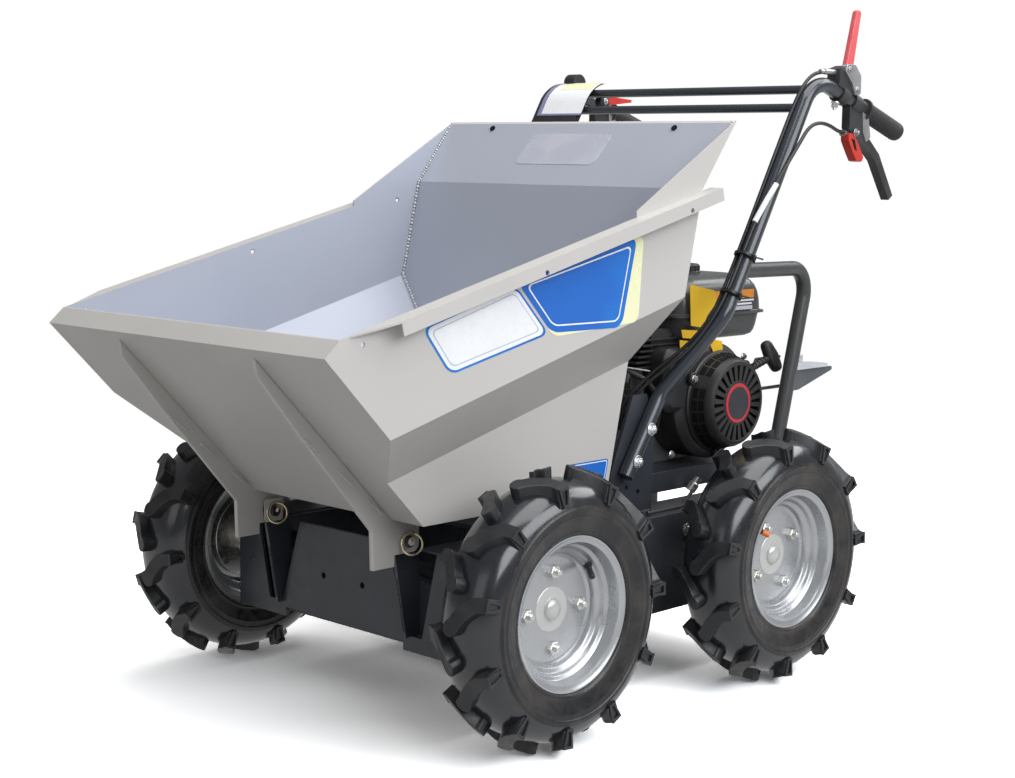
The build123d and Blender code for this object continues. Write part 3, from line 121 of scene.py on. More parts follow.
# ---- materials -----------------------------------------------------------------------------------------
class Nodes:
    """Short calls for the nodes of one material."""

    def __init__(self, name: str) -> None:
        """Start a material with a Principled shader.

        Args:
            name: The material's name.
        """
        self.material = bpy.data.materials.new(name)
        self.material.use_nodes = True
        self.tree = self.material.node_tree
        self.shader = self.tree.nodes["Principled BSDF"]
        self.place = self.tree.nodes.new("ShaderNodeTexCoord").outputs["Object"]

    def link(self, output: bpy.types.NodeSocket, node: bpy.types.Node, socket: str | int) -> None:
        """Join an output to a node's input."""
        self.tree.links.new(output, node.inputs[socket])

    def stretch(self, scale: Point, vector: bpy.types.NodeSocket | None = None) -> bpy.types.NodeSocket:
        """Scale the coordinates along each axis.

        Args:
            scale: The factor along X, Y and Z.
            vector: The coordinates, or None for the object's own.

        Returns:
            The scaled coordinates.
        """
        node = self.tree.nodes.new("ShaderNodeMapping")
        node.inputs["Scale"].default_value = scale
        self.link(vector or self.place, node, "Vector")
        return node.outputs["Vector"]

    def noise(
        self, scale: float, detail: float = 3.0, vector: bpy.types.NodeSocket | None = None
    ) -> bpy.types.NodeSocket:
        """Add a noise.

        Args:
            scale: Its cells per metre.
            detail: Its octaves.
            vector: The coordinates, or None for the object's own.

        Returns:
            Its height, from 0 to 1.
        """
        node = self.tree.nodes.new("ShaderNodeTexNoise")
        node.inputs["Scale"].default_value = scale
        node.inputs["Detail"].default_value = detail
        self.link(vector or self.place, node, "Vector")
        return node.outputs["Fac"]

    def spread(
        self, value: bpy.types.NodeSocket, low: float, high: float, to_low: float = 0.0, to_high: float = 1.0
    ) -> bpy.types.NodeSocket:
        """Map a range of a value to another range.

        Args:
            value: The value.
            low: The value that becomes to_low.
            high: The value that becomes to_high.
            to_low: The start of the new range.
            to_high: The end of the new range.

        Returns:
            The mapped value.
        """
        node = self.tree.nodes.new("ShaderNodeMapRange")
        for socket, number in zip(("From Min", "From Max", "To Min", "To Max"), (low, high, to_low, to_high)):
            node.inputs[socket].default_value = number
        self.link(value, node, "Value")
        return node.outputs["Result"]

    def math(
        self, operation: str, first: bpy.types.NodeSocket, second: bpy.types.NodeSocket | float = 0.0
    ) -> bpy.types.NodeSocket:
        """Work out one step of arithmetic.

        Args:
            operation: The Math node's operation.
            first: The first value.
            second: The second value, or a number.

        Returns:
            The result.
        """
        node = self.tree.nodes.new("ShaderNodeMath")
        node.operation = operation
        self.link(first, node, 0)
        if isinstance(second, (int, float)):
            node.inputs[1].default_value = second
        else:
            self.link(second, node, 1)
        return node.outputs[0]

    def blend(self, share: bpy.types.NodeSocket, first: Point, second: Point) -> bpy.types.NodeSocket:
        """Blend two colours by a share.

        Args:
            share: How much of the second colour shows.
            first: The colour at 0.
            second: The colour at 1.

        Returns:
            The blended colour.
        """
        node = self.tree.nodes.new("ShaderNodeMix")
        node.data_type = "RGBA"
        node.inputs["A"].default_value = (*first, 1.0)
        node.inputs["B"].default_value = (*second, 1.0)
        self.link(share, node, "Factor")
        return node.outputs["Result"]

    def relief(self, height: bpy.types.NodeSocket, depth_mm: float, strength: float = 1.0) -> None:
        """Bump the surface.

        Args:
            height: The relief, from 0 to 1.
            depth_mm: The relief's full depth.
            strength: How strongly it shows.
        """
        node = self.tree.nodes.new("ShaderNodeBump")
        node.inputs["Distance"].default_value = depth_mm * MM
        node.inputs["Strength"].default_value = strength
        self.link(height, node, "Height")
        before = self.shader.inputs["Normal"].links
        if before:
            self.tree.links.new(before[0].from_socket, node.inputs["Normal"])
        self.tree.links.new(node.outputs["Normal"], self.shader.inputs["Normal"])

    def grain(self, grain: Grain) -> None:
        """Bump the surface with the noises of a grain.

        Args:
            grain: The grain.
        """
        for relief in RELIEFS[grain]:
            vector = self.stretch(relief.stretch) if relief.stretch else None
            self.relief(self.noise(relief.scale, relief.detail, vector), relief.depth_mm, relief.strength)


@dataclass(frozen=True)
class Finish:
    """One surface finish: two colours that a slow noise blends, a range of roughness and a fine relief."""

    name: str
    colour: tuple[float, float, float]
    patches: tuple[float, float, float]
    roughness: tuple[float, float]
    grain: Grain = Grain.PAINT
    metallic: float = 0.0
    coat: float = 0.0
    specular: float = 0.5
    patch_scale: float = 14.0
    patch_low: float = 0.42
    patch_high: float = 0.72
    smear_factor: float = 3.3  # how much finer the roughness varies than the colour
    coat_roughness: float = 0.12

    def material(self) -> bpy.types.Material:
        """Make the finish's material, once.

        Returns:
            The material.
        """
        made = bpy.data.materials.get(self.name)
        if made:
            return made
        nodes = Nodes(self.name)
        cloud = nodes.noise(self.patch_scale, 6.0)
        share = nodes.spread(cloud, self.patch_low, self.patch_high)
        nodes.link(nodes.blend(share, self.colour, self.patches), nodes.shader, "Base Color")
        smear = nodes.noise(self.patch_scale * self.smear_factor, 5.0)
        nodes.link(nodes.spread(smear, 0.3, 0.7, *self.roughness), nodes.shader, "Roughness")
        nodes.shader.inputs["Metallic"].default_value = self.metallic
        nodes.shader.inputs["Coat Weight"].default_value = self.coat
        nodes.shader.inputs["Coat Roughness"].default_value = self.coat_roughness
        nodes.shader.inputs["Specular IOR Level"].default_value = self.specular
        if self.grain is Grain.TREAD:
            TreadWeave().apply(nodes)
        nodes.grain(self.grain)
        return nodes.material


@dataclass(frozen=True)
class TreadWeave:
    """The cloth-like relief that the mould leaves between the lugs, read from the wheel's own coordinates."""

    pitch_mm: float = 2.4
    depth_mm: float = 0.25
    strength: float = 0.12
    tread_r_mm: float = 190.0
    edge_m: tuple[float, float] = (0.172, 0.18)  # radii between which the relief fades in

    def apply(self, nodes: Nodes) -> None:
        """Add the fine weave to the tread.

        Args:
            nodes: The nodes of the rubber's material.
        """
        local = nodes.tree.nodes.new("ShaderNodeAttribute")
        local.attribute_name = "wheel_place"
        split = nodes.tree.nodes.new("ShaderNodeSeparateXYZ")
        nodes.link(local.outputs["Vector"], split, 0)
        turn = nodes.math("ARCTAN2", split.outputs["Z"], split.outputs["Y"])
        along = nodes.math("MULTIPLY", turn, self.tread_r_mm / self.pitch_mm * math.tau)
        across = nodes.math("MULTIPLY", split.outputs["X"], math.tau / (self.pitch_mm * MM))
        weave = nodes.math("MULTIPLY", nodes.math("SINE", along), nodes.math("SINE", across))
        squares = [nodes.math("POWER", split.outputs[axis], 2.0) for axis in "YZ"]
        reach = nodes.math("SQRT", nodes.math("ADD", *squares))
        on_tread = nodes.spread(reach, *self.edge_m)
        nodes.relief(nodes.math("MULTIPLY", weave, on_tread), self.depth_mm, self.strength)


SKIP_PAINT = Finish(
    "skip_grey_paint", (0.54, 0.522, 0.50), (0.505, 0.488, 0.468), (0.36, 0.46), metallic=0.1, patch_scale=3.0
)
# The skip's grey darkened and turned bluish for the faces towards the load: painted shade and a painted reflection of
# the sky.
SKIP_INSIDE_SHADE_AND_SKY = Finish(
    "skip_inner_painted_shade_and_sky", (0.41, 0.432, 0.50), (0.385, 0.408, 0.475), (0.34, 0.44), metallic=0.1, patch_scale=3.0
)
WELD = Finish("weld_grey", (0.60, 0.60, 0.61), (0.50, 0.50, 0.51), (0.3, 0.45), Grain.CAST, metallic=0.1)
CHASSIS_PAINT = Finish("chassis_black_paint", (0.029, 0.032, 0.041), (0.038, 0.042, 0.052), (0.26, 0.38))
TUBE_PAINT = Finish(
    "tube_black_paint", (0.026, 0.032, 0.042), (0.032, 0.038, 0.049), (0.2, 0.27), coat=0.5, patch_scale=5.0
)
TYRE_RUBBER = Finish(
    "carcass_rubber",
    (0.009, 0.0105, 0.015),
    (0.017, 0.018, 0.022),
    (0.16, 0.26),
    Grain.TREAD,
    specular=0.62,
    coat=0.55,
    patch_scale=20.0,
    patch_low=0.45,
    patch_high=0.75,
)
LUG_RUBBER = Finish(
    "lug_rubber", (0.013, 0.014, 0.017), (0.034, 0.034, 0.035), (0.27, 0.46), Grain.TREAD, patch_scale=26.0
)
SIDEWALL = Finish(
    "tyre_sidewall", (0.011, 0.0115, 0.014), (0.040, 0.034, 0.030), (0.2, 0.42), Grain.RUBBER, patch_scale=24.0
)
GRIP_RUBBER = Finish("grip_rubber", (0.018, 0.018, 0.019), (0.030, 0.030, 0.031), (0.5, 0.62), Grain.RUBBER)
HUB_GREY = Finish("hub_grey", (0.60, 0.605, 0.585), (0.54, 0.545, 0.525), (0.26, 0.34), Grain.SMOOTH, metallic=0.4)
RIM_PAINT = Finish(
    "rim_silver", (0.50, 0.51, 0.525), (0.44, 0.45, 0.465), (0.24, 0.34), Grain.SMOOTH, metallic=0.7, patch_scale=9.0
)
ZINC = Finish(
    "zinc_plate", (0.74, 0.74, 0.72), (0.58, 0.57, 0.52), (0.20, 0.34), Grain.BRUSHED, metallic=0.95
)
GOLD_ZINC = Finish(
    "yellow_zinc", (0.72, 0.62, 0.38), (0.52, 0.44, 0.30), (0.22, 0.36), Grain.BRUSHED, metallic=0.95
)
BLACK_PLASTIC = Finish("black_plastic", (0.016, 0.016, 0.017), (0.026, 0.026, 0.028), (0.36, 0.48), Grain.RUBBER)
ENGINE_SHROUD = Finish("engine_shroud", (0.022, 0.022, 0.023), (0.033, 0.033, 0.034), (0.34, 0.44))
ENGINE_METAL = Finish(
    "cast_aluminium", (0.34, 0.34, 0.35), (0.22, 0.22, 0.23), (0.36, 0.52), Grain.CAST, metallic=0.7
)
BLACK_METAL = Finish("black_metal", (0.02, 0.02, 0.021), (0.05, 0.05, 0.052), (0.4, 0.55), Grain.CAST)
TANK_PAINT = Finish("tank_grey_paint", (0.060, 0.063, 0.064), (0.075, 0.078, 0.078), (0.24, 0.34), coat=0.25)
CLAMP_METAL = Finish(
    "clamp_aluminium", (0.58, 0.59, 0.60), (0.34, 0.34, 0.35), (0.26, 0.38), Grain.CAST, metallic=0.8
)
LEVER_RED = Finish("lever_red_plastic", (0.66, 0.085, 0.10), (0.70, 0.13, 0.14), (0.34, 0.44))
LATCH_RED = Finish("latch_red", (0.50, 0.028, 0.018), (0.56, 0.045, 0.03), (0.3, 0.4))
# One grey paint for the gear shelf, painted dark on the gusset under it as painted shade and pale bluish on its top as
# painted light.
SHELF_SHADED_GUSSET = Finish("shelf_paint_shaded_gusset", (0.07, 0.075, 0.085), (0.09, 0.095, 0.105), (0.3, 0.42))
SHELF_LIT_TOP = Finish("shelf_paint_lit_top", (0.42, 0.44, 0.48), (0.50, 0.52, 0.56), (0.3, 0.42))
YELLOW_CARD = Finish("yellow_card", (0.74, 0.44, 0.006), (0.80, 0.50, 0.012), (0.42, 0.5), Grain.SMOOTH)
BLUE_DECAL = Finish("blue_film", (0.012, 0.13, 0.52), (0.010, 0.22, 0.66), (0.22, 0.28), Grain.SMOOTH, patch_scale=4.0)
WHITE_DECAL = Finish("white_film", (0.84, 0.85, 0.87), (0.80, 0.81, 0.84), (0.25, 0.3), Grain.SMOOTH)
CREAM_DECAL = Finish("pale_yellow_film", (0.80, 0.79, 0.50), (0.84, 0.83, 0.58), (0.25, 0.3), Grain.SMOOTH)
SILVER_PLATE = Finish("silver_film", (0.62, 0.63, 0.74), (0.72, 0.73, 0.80), (0.2, 0.3), Grain.SMOOTH, metallic=0.4)
ORANGE_DECAL = Finish("orange_film", (0.82, 0.27, 0.02), (0.86, 0.33, 0.04), (0.3, 0.36), Grain.SMOOTH)
RED_DECAL = Finish("red_film", (0.50, 0.022, 0.03), (0.56, 0.035, 0.04), (0.3, 0.36), Grain.SMOOTH)
DARK_DECAL = Finish("dark_film", (0.02, 0.02, 0.03), (0.03, 0.03, 0.045), (0.28, 0.34), Grain.SMOOTH)
ORANGE_CAP = Finish("orange_cap", (0.80, 0.16, 0.02), (0.84, 0.22, 0.03), (0.3, 0.36), Grain.SMOOTH)
GREY_LINE = Finish("grey_blue_film", (0.42, 0.46, 0.55), (0.46, 0.50, 0.58), (0.25, 0.3), Grain.SMOOTH)
LILAC_FILM = Finish("lilac_film", (0.20, 0.21, 0.36), (0.24, 0.25, 0.40), (0.25, 0.3), Grain.SMOOTH)
# Near black: painted shade in the starter's openings and slots and in the latch's slot, and the rear panel's plugs.
SHADE_AND_PLUG_BLACK = Finish("painted_shade_and_plug_black", (0.004, 0.004, 0.004), (0.006, 0.006, 0.006), (0.7, 0.8), Grain.SMOOTH, specular=0.2)
BRIGHT_ZINC = Finish("bright_zinc", (0.82, 0.82, 0.82), (0.72, 0.72, 0.72), (0.2, 0.28), Grain.SMOOTH, metallic=0.8)
CHASSIS_WELD = Finish("chassis_weld", (0.024, 0.025, 0.028), (0.04, 0.04, 0.044), (0.25, 0.4), Grain.CAST)
GUARD_PAINT = Finish("guard_paint", (0.045, 0.047, 0.049), (0.055, 0.057, 0.06), (0.3, 0.4))
TANK_DARK = Finish("tank_lower_paint", (0.058, 0.060, 0.060), (0.070, 0.073, 0.073), (0.34, 0.44))
CABLE_SHEATH = Finish("cable_sheath", (0.014, 0.014, 0.015), (0.022, 0.022, 0.023), (0.32, 0.42), Grain.SMOOTH)


# ---- shaping -------------------------------------------------------------------------------------------
def facing(origin: Point, normal: Point, across: Point) -> Matrix:
    """Work out the frame of a surface.

    Args:
        origin: Its origin.
        normal: Its z direction.
        across: Roughly its x direction.

    Returns:
        The 4x4 matrix from that frame to the model's.
    """
    z = Vector(normal).normalized()
    x = (Vector(across) - z * Vector(across).dot(z)).normalized()
    turned = Matrix((x, z.cross(x), z)).transposed().to_4x4()
    return Matrix.Translation(Vector(origin)) @ turned


def added(name: str, data: bpy.types.ID) -> bpy.types.Object:
    """Put an object into the scene.

    Args:
        name: Its name.
        data: Its mesh, curve, lamp or camera.

    Returns:
        The object.
    """
    made = bpy.data.objects.new(name, data)
    bpy.context.scene.collection.objects.link(made)
    return made


def sideways(centre: Point, sign: int = 1) -> Matrix:
    """Work out the frame of a surface that faces the machine's left, or its right where the sign is -1."""
    return facing(centre, (sign, 0.0, 0.0), REAR)


def on_side(outline: Outline, sign: int) -> list[tuple[float, float]]:
    """Turn an outline of (y, z) points into one for the frame of a side."""
    turned = [(y, z * sign) for y, z in outline]
    return turned if sign > 0 else turned[::-1]


def mirrored(point: Point, sign: int) -> Vector:
    """Take a point of the left side to the side of the sign."""
    return Vector((sign * point[0], point[1], point[2]))


class Shape:
    """A mesh in millimetres that grows by bmesh operators and ends as one piece."""

    def __init__(self) -> None:
        """Start with nothing."""
        self.bm = bmesh.new()

    @classmethod
    def copied(cls, frame: dict, node: str) -> "Shape":
        """Start with a copy of a CAD node, its flat faces whole again.

        Args:
            frame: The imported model.
            node: The node.

        Returns:
            The copy.
        """
        shape = cls()
        shape.bm.from_mesh(frame["nodes"][node].data)
        shape.move(Matrix.Diagonal((1 / MM, 1 / MM, 1 / MM, 1.0)))
        bm = shape.bm
        bmesh.ops.remove_doubles(bm, verts=bm.verts, dist=MERGE)
        bmesh.ops.dissolve_limit(bm, angle_limit=math.radians(0.5), verts=bm.verts, edges=bm.edges)
        return shape

    def cuboid(self, size: Point, centre: Point, turn: Matrix | None = None) -> list[bmesh.types.BMVert]:
        """Add a block.

        Args:
            size: Its lengths along x, y and z.
            centre: Its middle.
            turn: Its rotation about its middle.

        Returns:
            Its vertices.
        """
        place = Matrix.Translation(Vector(centre)) @ (turn or Matrix()) @ Matrix.Diagonal((*size, 1.0))
        return bmesh.ops.create_cube(self.bm, size=1.0, matrix=place)["verts"]

    def rod(
        self, radius: float, length: float, place: Matrix, steps: int = 24, top_radius: float | None = None
    ) -> list[bmesh.types.BMVert]:
        """Add a cylinder or cone that stands on its frame's origin.

        Args:
            radius: Its radius at the foot.
            length: Its height along the frame's z.
            place: Its frame.
            steps: Its number of sides.
            top_radius: Its radius at the top, or None for the same.

        Returns:
            Its vertices.
        """
        return bmesh.ops.create_cone(
            self.bm,
            cap_ends=True,
            segments=steps,
            radius1=radius,
            radius2=radius if top_radius is None else top_radius,
            depth=length,
            matrix=place @ Matrix.Translation((0.0, 0.0, length / 2)),
        )["verts"]

    def lathe(
        self, profile: Outline, place: Matrix, steps: int = 48, closed: bool = False
    ) -> list[bmesh.types.BMVert]:
        """Turn a profile about its frame's z.

        Args:
            profile: Its points as (radius, height). A radius of 0 closes it on the axis.
            place: Its frame.
            steps: The steps of a full turn.
            closed: Whether the last point joins the first.

        Returns:
            Its vertices.
        """
        line = [self.bm.verts.new(place @ Vector((radius, 0.0, height))) for radius, height in profile]
        pairs = list(zip(line, line[1:]))
        if closed:
            pairs.append((line[-1], line[0]))
        edges = [self.bm.edges.new(pair) for pair in pairs]
        bmesh.ops.spin(
            self.bm,
            geom=line + edges,
            cent=place.translation,
            axis=place.col[2].to_3d(),
            angle=math.tau,
            steps=steps,
            use_merge=True,
        )
        return line

    def plate(
        self, outline: Outline, depth: float, place: Matrix, round_corners: float = 0.0
    ) -> list[bmesh.types.BMFace]:
        """Extrude an outline along its frame's z.

        Args:
            outline: Its corners in the frame's x and y.
            depth: Its thickness, from the frame's origin.
            place: Its frame.
            round_corners: The radius of its corners.

        Returns:
            The faces of its far side.
        """
        corners = [self.bm.verts.new(place @ Vector((x, y, 0.0))) for x, y in outline]
        face = self.bm.faces.new(corners)
        if round_corners:
            face = next(f for v in self.bevel(corners, round_corners, 5, "VERTICES") for f in v.link_faces)
        grown = bmesh.ops.extrude_face_region(self.bm, geom=[face], use_keep_orig=True)["geom"]
        moved = [item for item in grown if isinstance(item, bmesh.types.BMVert)]
        bmesh.ops.translate(self.bm, verts=moved, vec=place.col[2].to_3d() * depth)
        return [item for item in grown if isinstance(item, bmesh.types.BMFace)]

    def tube(self, route: Route, radius: float, bend: float = 0.0, sides: int = 28) -> None:
        """Run a round bar along a route.

        Args:
            route: Its corners.
            radius: The bar's radius.
            bend: The radius that its corners are bent to.
            sides: The bar's number of sides.
        """
        line = rounded(route, bend)
        side = (line[1] - line[0]).orthogonal().normalized()
        rings = []
        for i, spot in enumerate(line):
            heading = (line[min(i + 1, len(line) - 1)] - line[max(i - 1, 0)]).normalized()
            side = (side - heading * side.dot(heading)).normalized()
            turned = Matrix((side, heading.cross(side), heading)).transposed().to_4x4()
            ring = bmesh.ops.create_circle(
                self.bm,
                cap_ends=i in (0, len(line) - 1),
                segments=sides,
                radius=radius,
                matrix=Matrix.Translation(spot) @ turned,
            )["verts"]
            rings.append(ring)
        self.skin(rings)

    def skin(self, rings: Sequence[Sequence[bmesh.types.BMVert]]) -> None:
        """Join each ring of vertices to the next one.

        Args:
            rings: The rings, all with the same number of vertices.
        """
        for first, second in zip(rings, rings[1:]):
            for j, corner in enumerate(first):
                k = (j + 1) % len(first)
                self.bm.faces.new((corner, first[k], second[k], second[j]))

    def stack(self, levels: Sequence[Sequence[float]], place: Matrix, corner_steps: int = 6) -> None:
        """Build a closed body from rounded rectangles, one above the other.

        Args:
            levels: Each rectangle's height, half length along x, half length along y and corner radius.
            place: The frame whose z they are stacked along.
            corner_steps: The steps of a corner.
        """
        rings = []
        for height, half_x, half_y, corner in levels:
            ring = []
            for quarter, (sx, sy) in enumerate(((1, 1), (-1, 1), (-1, -1), (1, -1))):
                for step in range(corner_steps + 1):
                    turn = math.radians(90 * quarter + 90 * step / corner_steps)
                    x = sx * (half_x - corner) + corner * math.cos(turn)
                    y = sy * (half_y - corner) + corner * math.sin(turn)
                    ring.append(self.bm.verts.new(place @ Vector((x, y, height))))
            rings.append(ring)
        self.skin(rings)
        self.bm.faces.new(list(reversed(rings[0])))
        self.bm.faces.new(rings[-1])

    def ring(self, radius: float, thickness: float, place: Matrix, steps: int = 36, sides: int = 10) -> None:
        """Add a torus about its frame's z.

        Args:
            radius: The radius of its middle line.
            thickness: Its wire's radius.
            place: Its frame.
            steps: The steps round the ring.
            sides: The wire's number of sides.
        """
        wire = [
            (radius + thickness * math.cos(math.tau * i / sides), thickness * math.sin(math.tau * i / sides))
            for i in range(sides)
        ]
        self.lathe(wire, place, steps, closed=True)

    def bevel(self, geom: Sequence, width: float, segments: int, affect: str) -> list[bmesh.types.BMVert]:
        """Bevel vertices or edges to a round.

        Args:
            geom: The vertices or edges.
            width: The bevel's width.
            segments: Its steps.
            affect: VERTICES or EDGES.

        Returns:
            The bevel's vertices.
        """
        return bmesh.ops.bevel(
            self.bm,
            geom=geom,
            offset=width,
            segments=segments,
            profile=0.5,
            affect=affect,
            material=-1,
            clamp_overlap=True,
        )["verts"]

    def soften(self, width: float, angle: float = 30.0, segments: int = 2, upper: float = 180.0) -> None:
        """Round every edge that is sharper than an angle.

        Args:
            width: The width of the rounding.
            angle: The least angle between the edge's faces, in degrees.
            segments: The steps across the rounding.
            upper: The greatest such angle.
        """
        bmesh.ops.remove_doubles(self.bm, verts=self.bm.verts, dist=MERGE)
        low, high = math.radians(angle), math.radians(upper)
        edges = [e for e in self.bm.edges if len(e.link_faces) == 2 and low < e.calc_face_angle(0.0) < high]
        self.bevel(edges, width, segments, "EDGES")

    def move(self, matrix: Matrix) -> None:
        """Move everything made so far."""
        bmesh.ops.transform(self.bm, matrix=matrix, verts=self.bm.verts)

    def baked(self, name: str) -> bpy.types.Mesh:
        """End the shape as a bare mesh.

        Args:
            name: The mesh's name.

        Returns:
            The mesh.
        """
        mesh = bpy.data.meshes.new(name)
        self.bm.to_mesh(mesh)
        self.bm.free()
        return mesh

    def piece(
        self,
        name: str,
        body: str,
        slot: str,
        finish: Finish,
        stands_for: Iterable[str] = (),
        sharp: float = 35.0,
    ) -> bpy.types.Object:
        """slot: The record's material slot; not used.
            finish: Its finish.
            stands_for: The CAD nodes that it replaces.
            sharp: Edges sharper than this many degrees aren't shaded smooth.

        Returns:
            The piece.
        """
        bmesh.ops.remove_doubles(self.bm, verts=self.bm.verts, dist=MERGE / 2)
        bmesh.ops.recalc_face_normals(self.bm, faces=self.bm.faces)
        self.move(Matrix.Diagonal((MM, MM, MM, 1.0)))
        mesh = self.baked(name)
        mesh.shade_smooth()
        mesh.set_sharp_from_angle(angle=math.radians(sharp))
        piece = added(name, mesh)
        piece.data.materials.append(finish.material())
        weighted = piece.modifiers.new("weighted_normals", "WEIGHTED_NORMAL")
        weighted.keep_sharp = True
        weighted.weight = 100
        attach(piece, body)
        nodes = tuple(stands_for)
        if nodes:
            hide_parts(*nodes)
        LOG.info("%s on %s: %d faces", name, body, len(mesh.polygons))
        return piece


def rounded(route: Route, bend: float) -> list[Vector]:
    """Round a route's corners.

    Args:
        route: Its corners.
        bend: The radius of each rounding.

    Returns:
        The points along the rounded route.
    """
    corners = [Vector(corner) for corner in route]
    line = [corners[0]]
    for before, corner, after in zip(corners, corners[1:], corners[2:]):
        back, ahead = (before - corner).normalized(), (after - corner).normalized()
        inside = back.angle(ahead)
        turn = math.pi - inside
        if bend <= 0.0 or turn < 0.02:
            line.append(corner)
            continue
        centre = corner + (back + ahead).normalized() * bend / math.sin(inside / 2)
        start = corner + back * bend * math.tan(turn / 2) - centre
        end = corner + ahead * bend * math.tan(turn / 2) - centre
        axis = start.cross(end).normalized()
        count = max(3, math.ceil(turn / BEND_STEP))
        line += [centre + Matrix.Rotation(turn * k / count, 3, axis) @ start for k in range(count + 1)]
    line.append(corners[-1])
    return line


def fastener(
    shape: Shape,
    centre: Point,
    outward: Point,
    nut: float = 8.0,
    washer: float = 10.0,
    height: float = 7.0,
    stud_length: float = 4.0,
) -> None:
    """Add a washer, a hexagon and a stud's end.

    Args:
        shape: The mesh that takes them.
        centre: The point on the surface below the washer.
        outward: The direction away from that surface.
        nut: Half the hexagon's width across corners.
        washer: The washer's radius.
        height: The hexagon's height.
        stud_length: How far the stud stands out of the hexagon. 0 leaves a plain bolt head.
    """
    place = facing(centre, outward, UP if abs(outward[2]) < 0.9 else LEFT)
    thick, chamfer = 1.7, 0.8  # of the washer and of the hexagon's top
    shape.lathe(((0, 0), (washer, 0), (washer, 1.3), (washer - 0.4, thick), (0, thick)), place, 28)
    shape.rod(nut, height - chamfer, place @ Matrix.Translation((0.0, 0.0, thick)), 6)
    shape.rod(nut * 0.97, chamfer, place @ Matrix.Translation((0.0, 0.0, height + 0.9)), 6, nut * 0.86)
    if stud_length:
        stud = place @ Matrix.Translation((0.0, 0.0, height + 1.5))
        bare = nut * 0.48
        shape.lathe(
            ((0, 0), (bare, 0), (bare, stud_length - 1.0), (bare - 1.0, stud_length), (0, stud_length)), stud, 18
        )


def weld_bead(shape: Shape, start: Point, end: Point, radius: float = 3.0, pitch: float = 5.0) -> None:
    """Lay a row of overlapping flat drops along a line.

    Args:
        shape: The mesh that takes them.
        start: The bead's first end.
        end: Its other end.
        radius: A drop's radius.
        pitch: The distance between drops.
    """
    run = Vector(end) - Vector(start)
    count = max(2, round(run.length / pitch))
    for i in range(count + 1):
        place = Matrix.Translation(Vector(start) + run * (i / count))
        swell = 1.0 + 0.16 * math.sin(i * 2.4)
        bmesh.ops.create_icosphere(shape.bm, subdivisions=1, radius=radius * swell, matrix=place)


def softened(
    frame: dict, node: str, finish: Finish, slot: str, body: str = "chassis", width: float = 1.0, angle: float = 30.0
) -> bpy.types.Object:
    """Replace a CAD node by a copy of it with rounded edges.

    Args:
        frame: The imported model.
        node: The node.
        finish: Its finish.
        slot: Its material slot.
        body: Its body.
        width: The width of the rounding.
        angle: The least angle of an edge that is rounded, in degrees.

    Returns:
        The copy.
    """
    shape = Shape.copied(frame, node)
    shape.soften(width, angle)
    return shape.piece(f"{node}_shell", body, slot, finish, stands_for=[node])


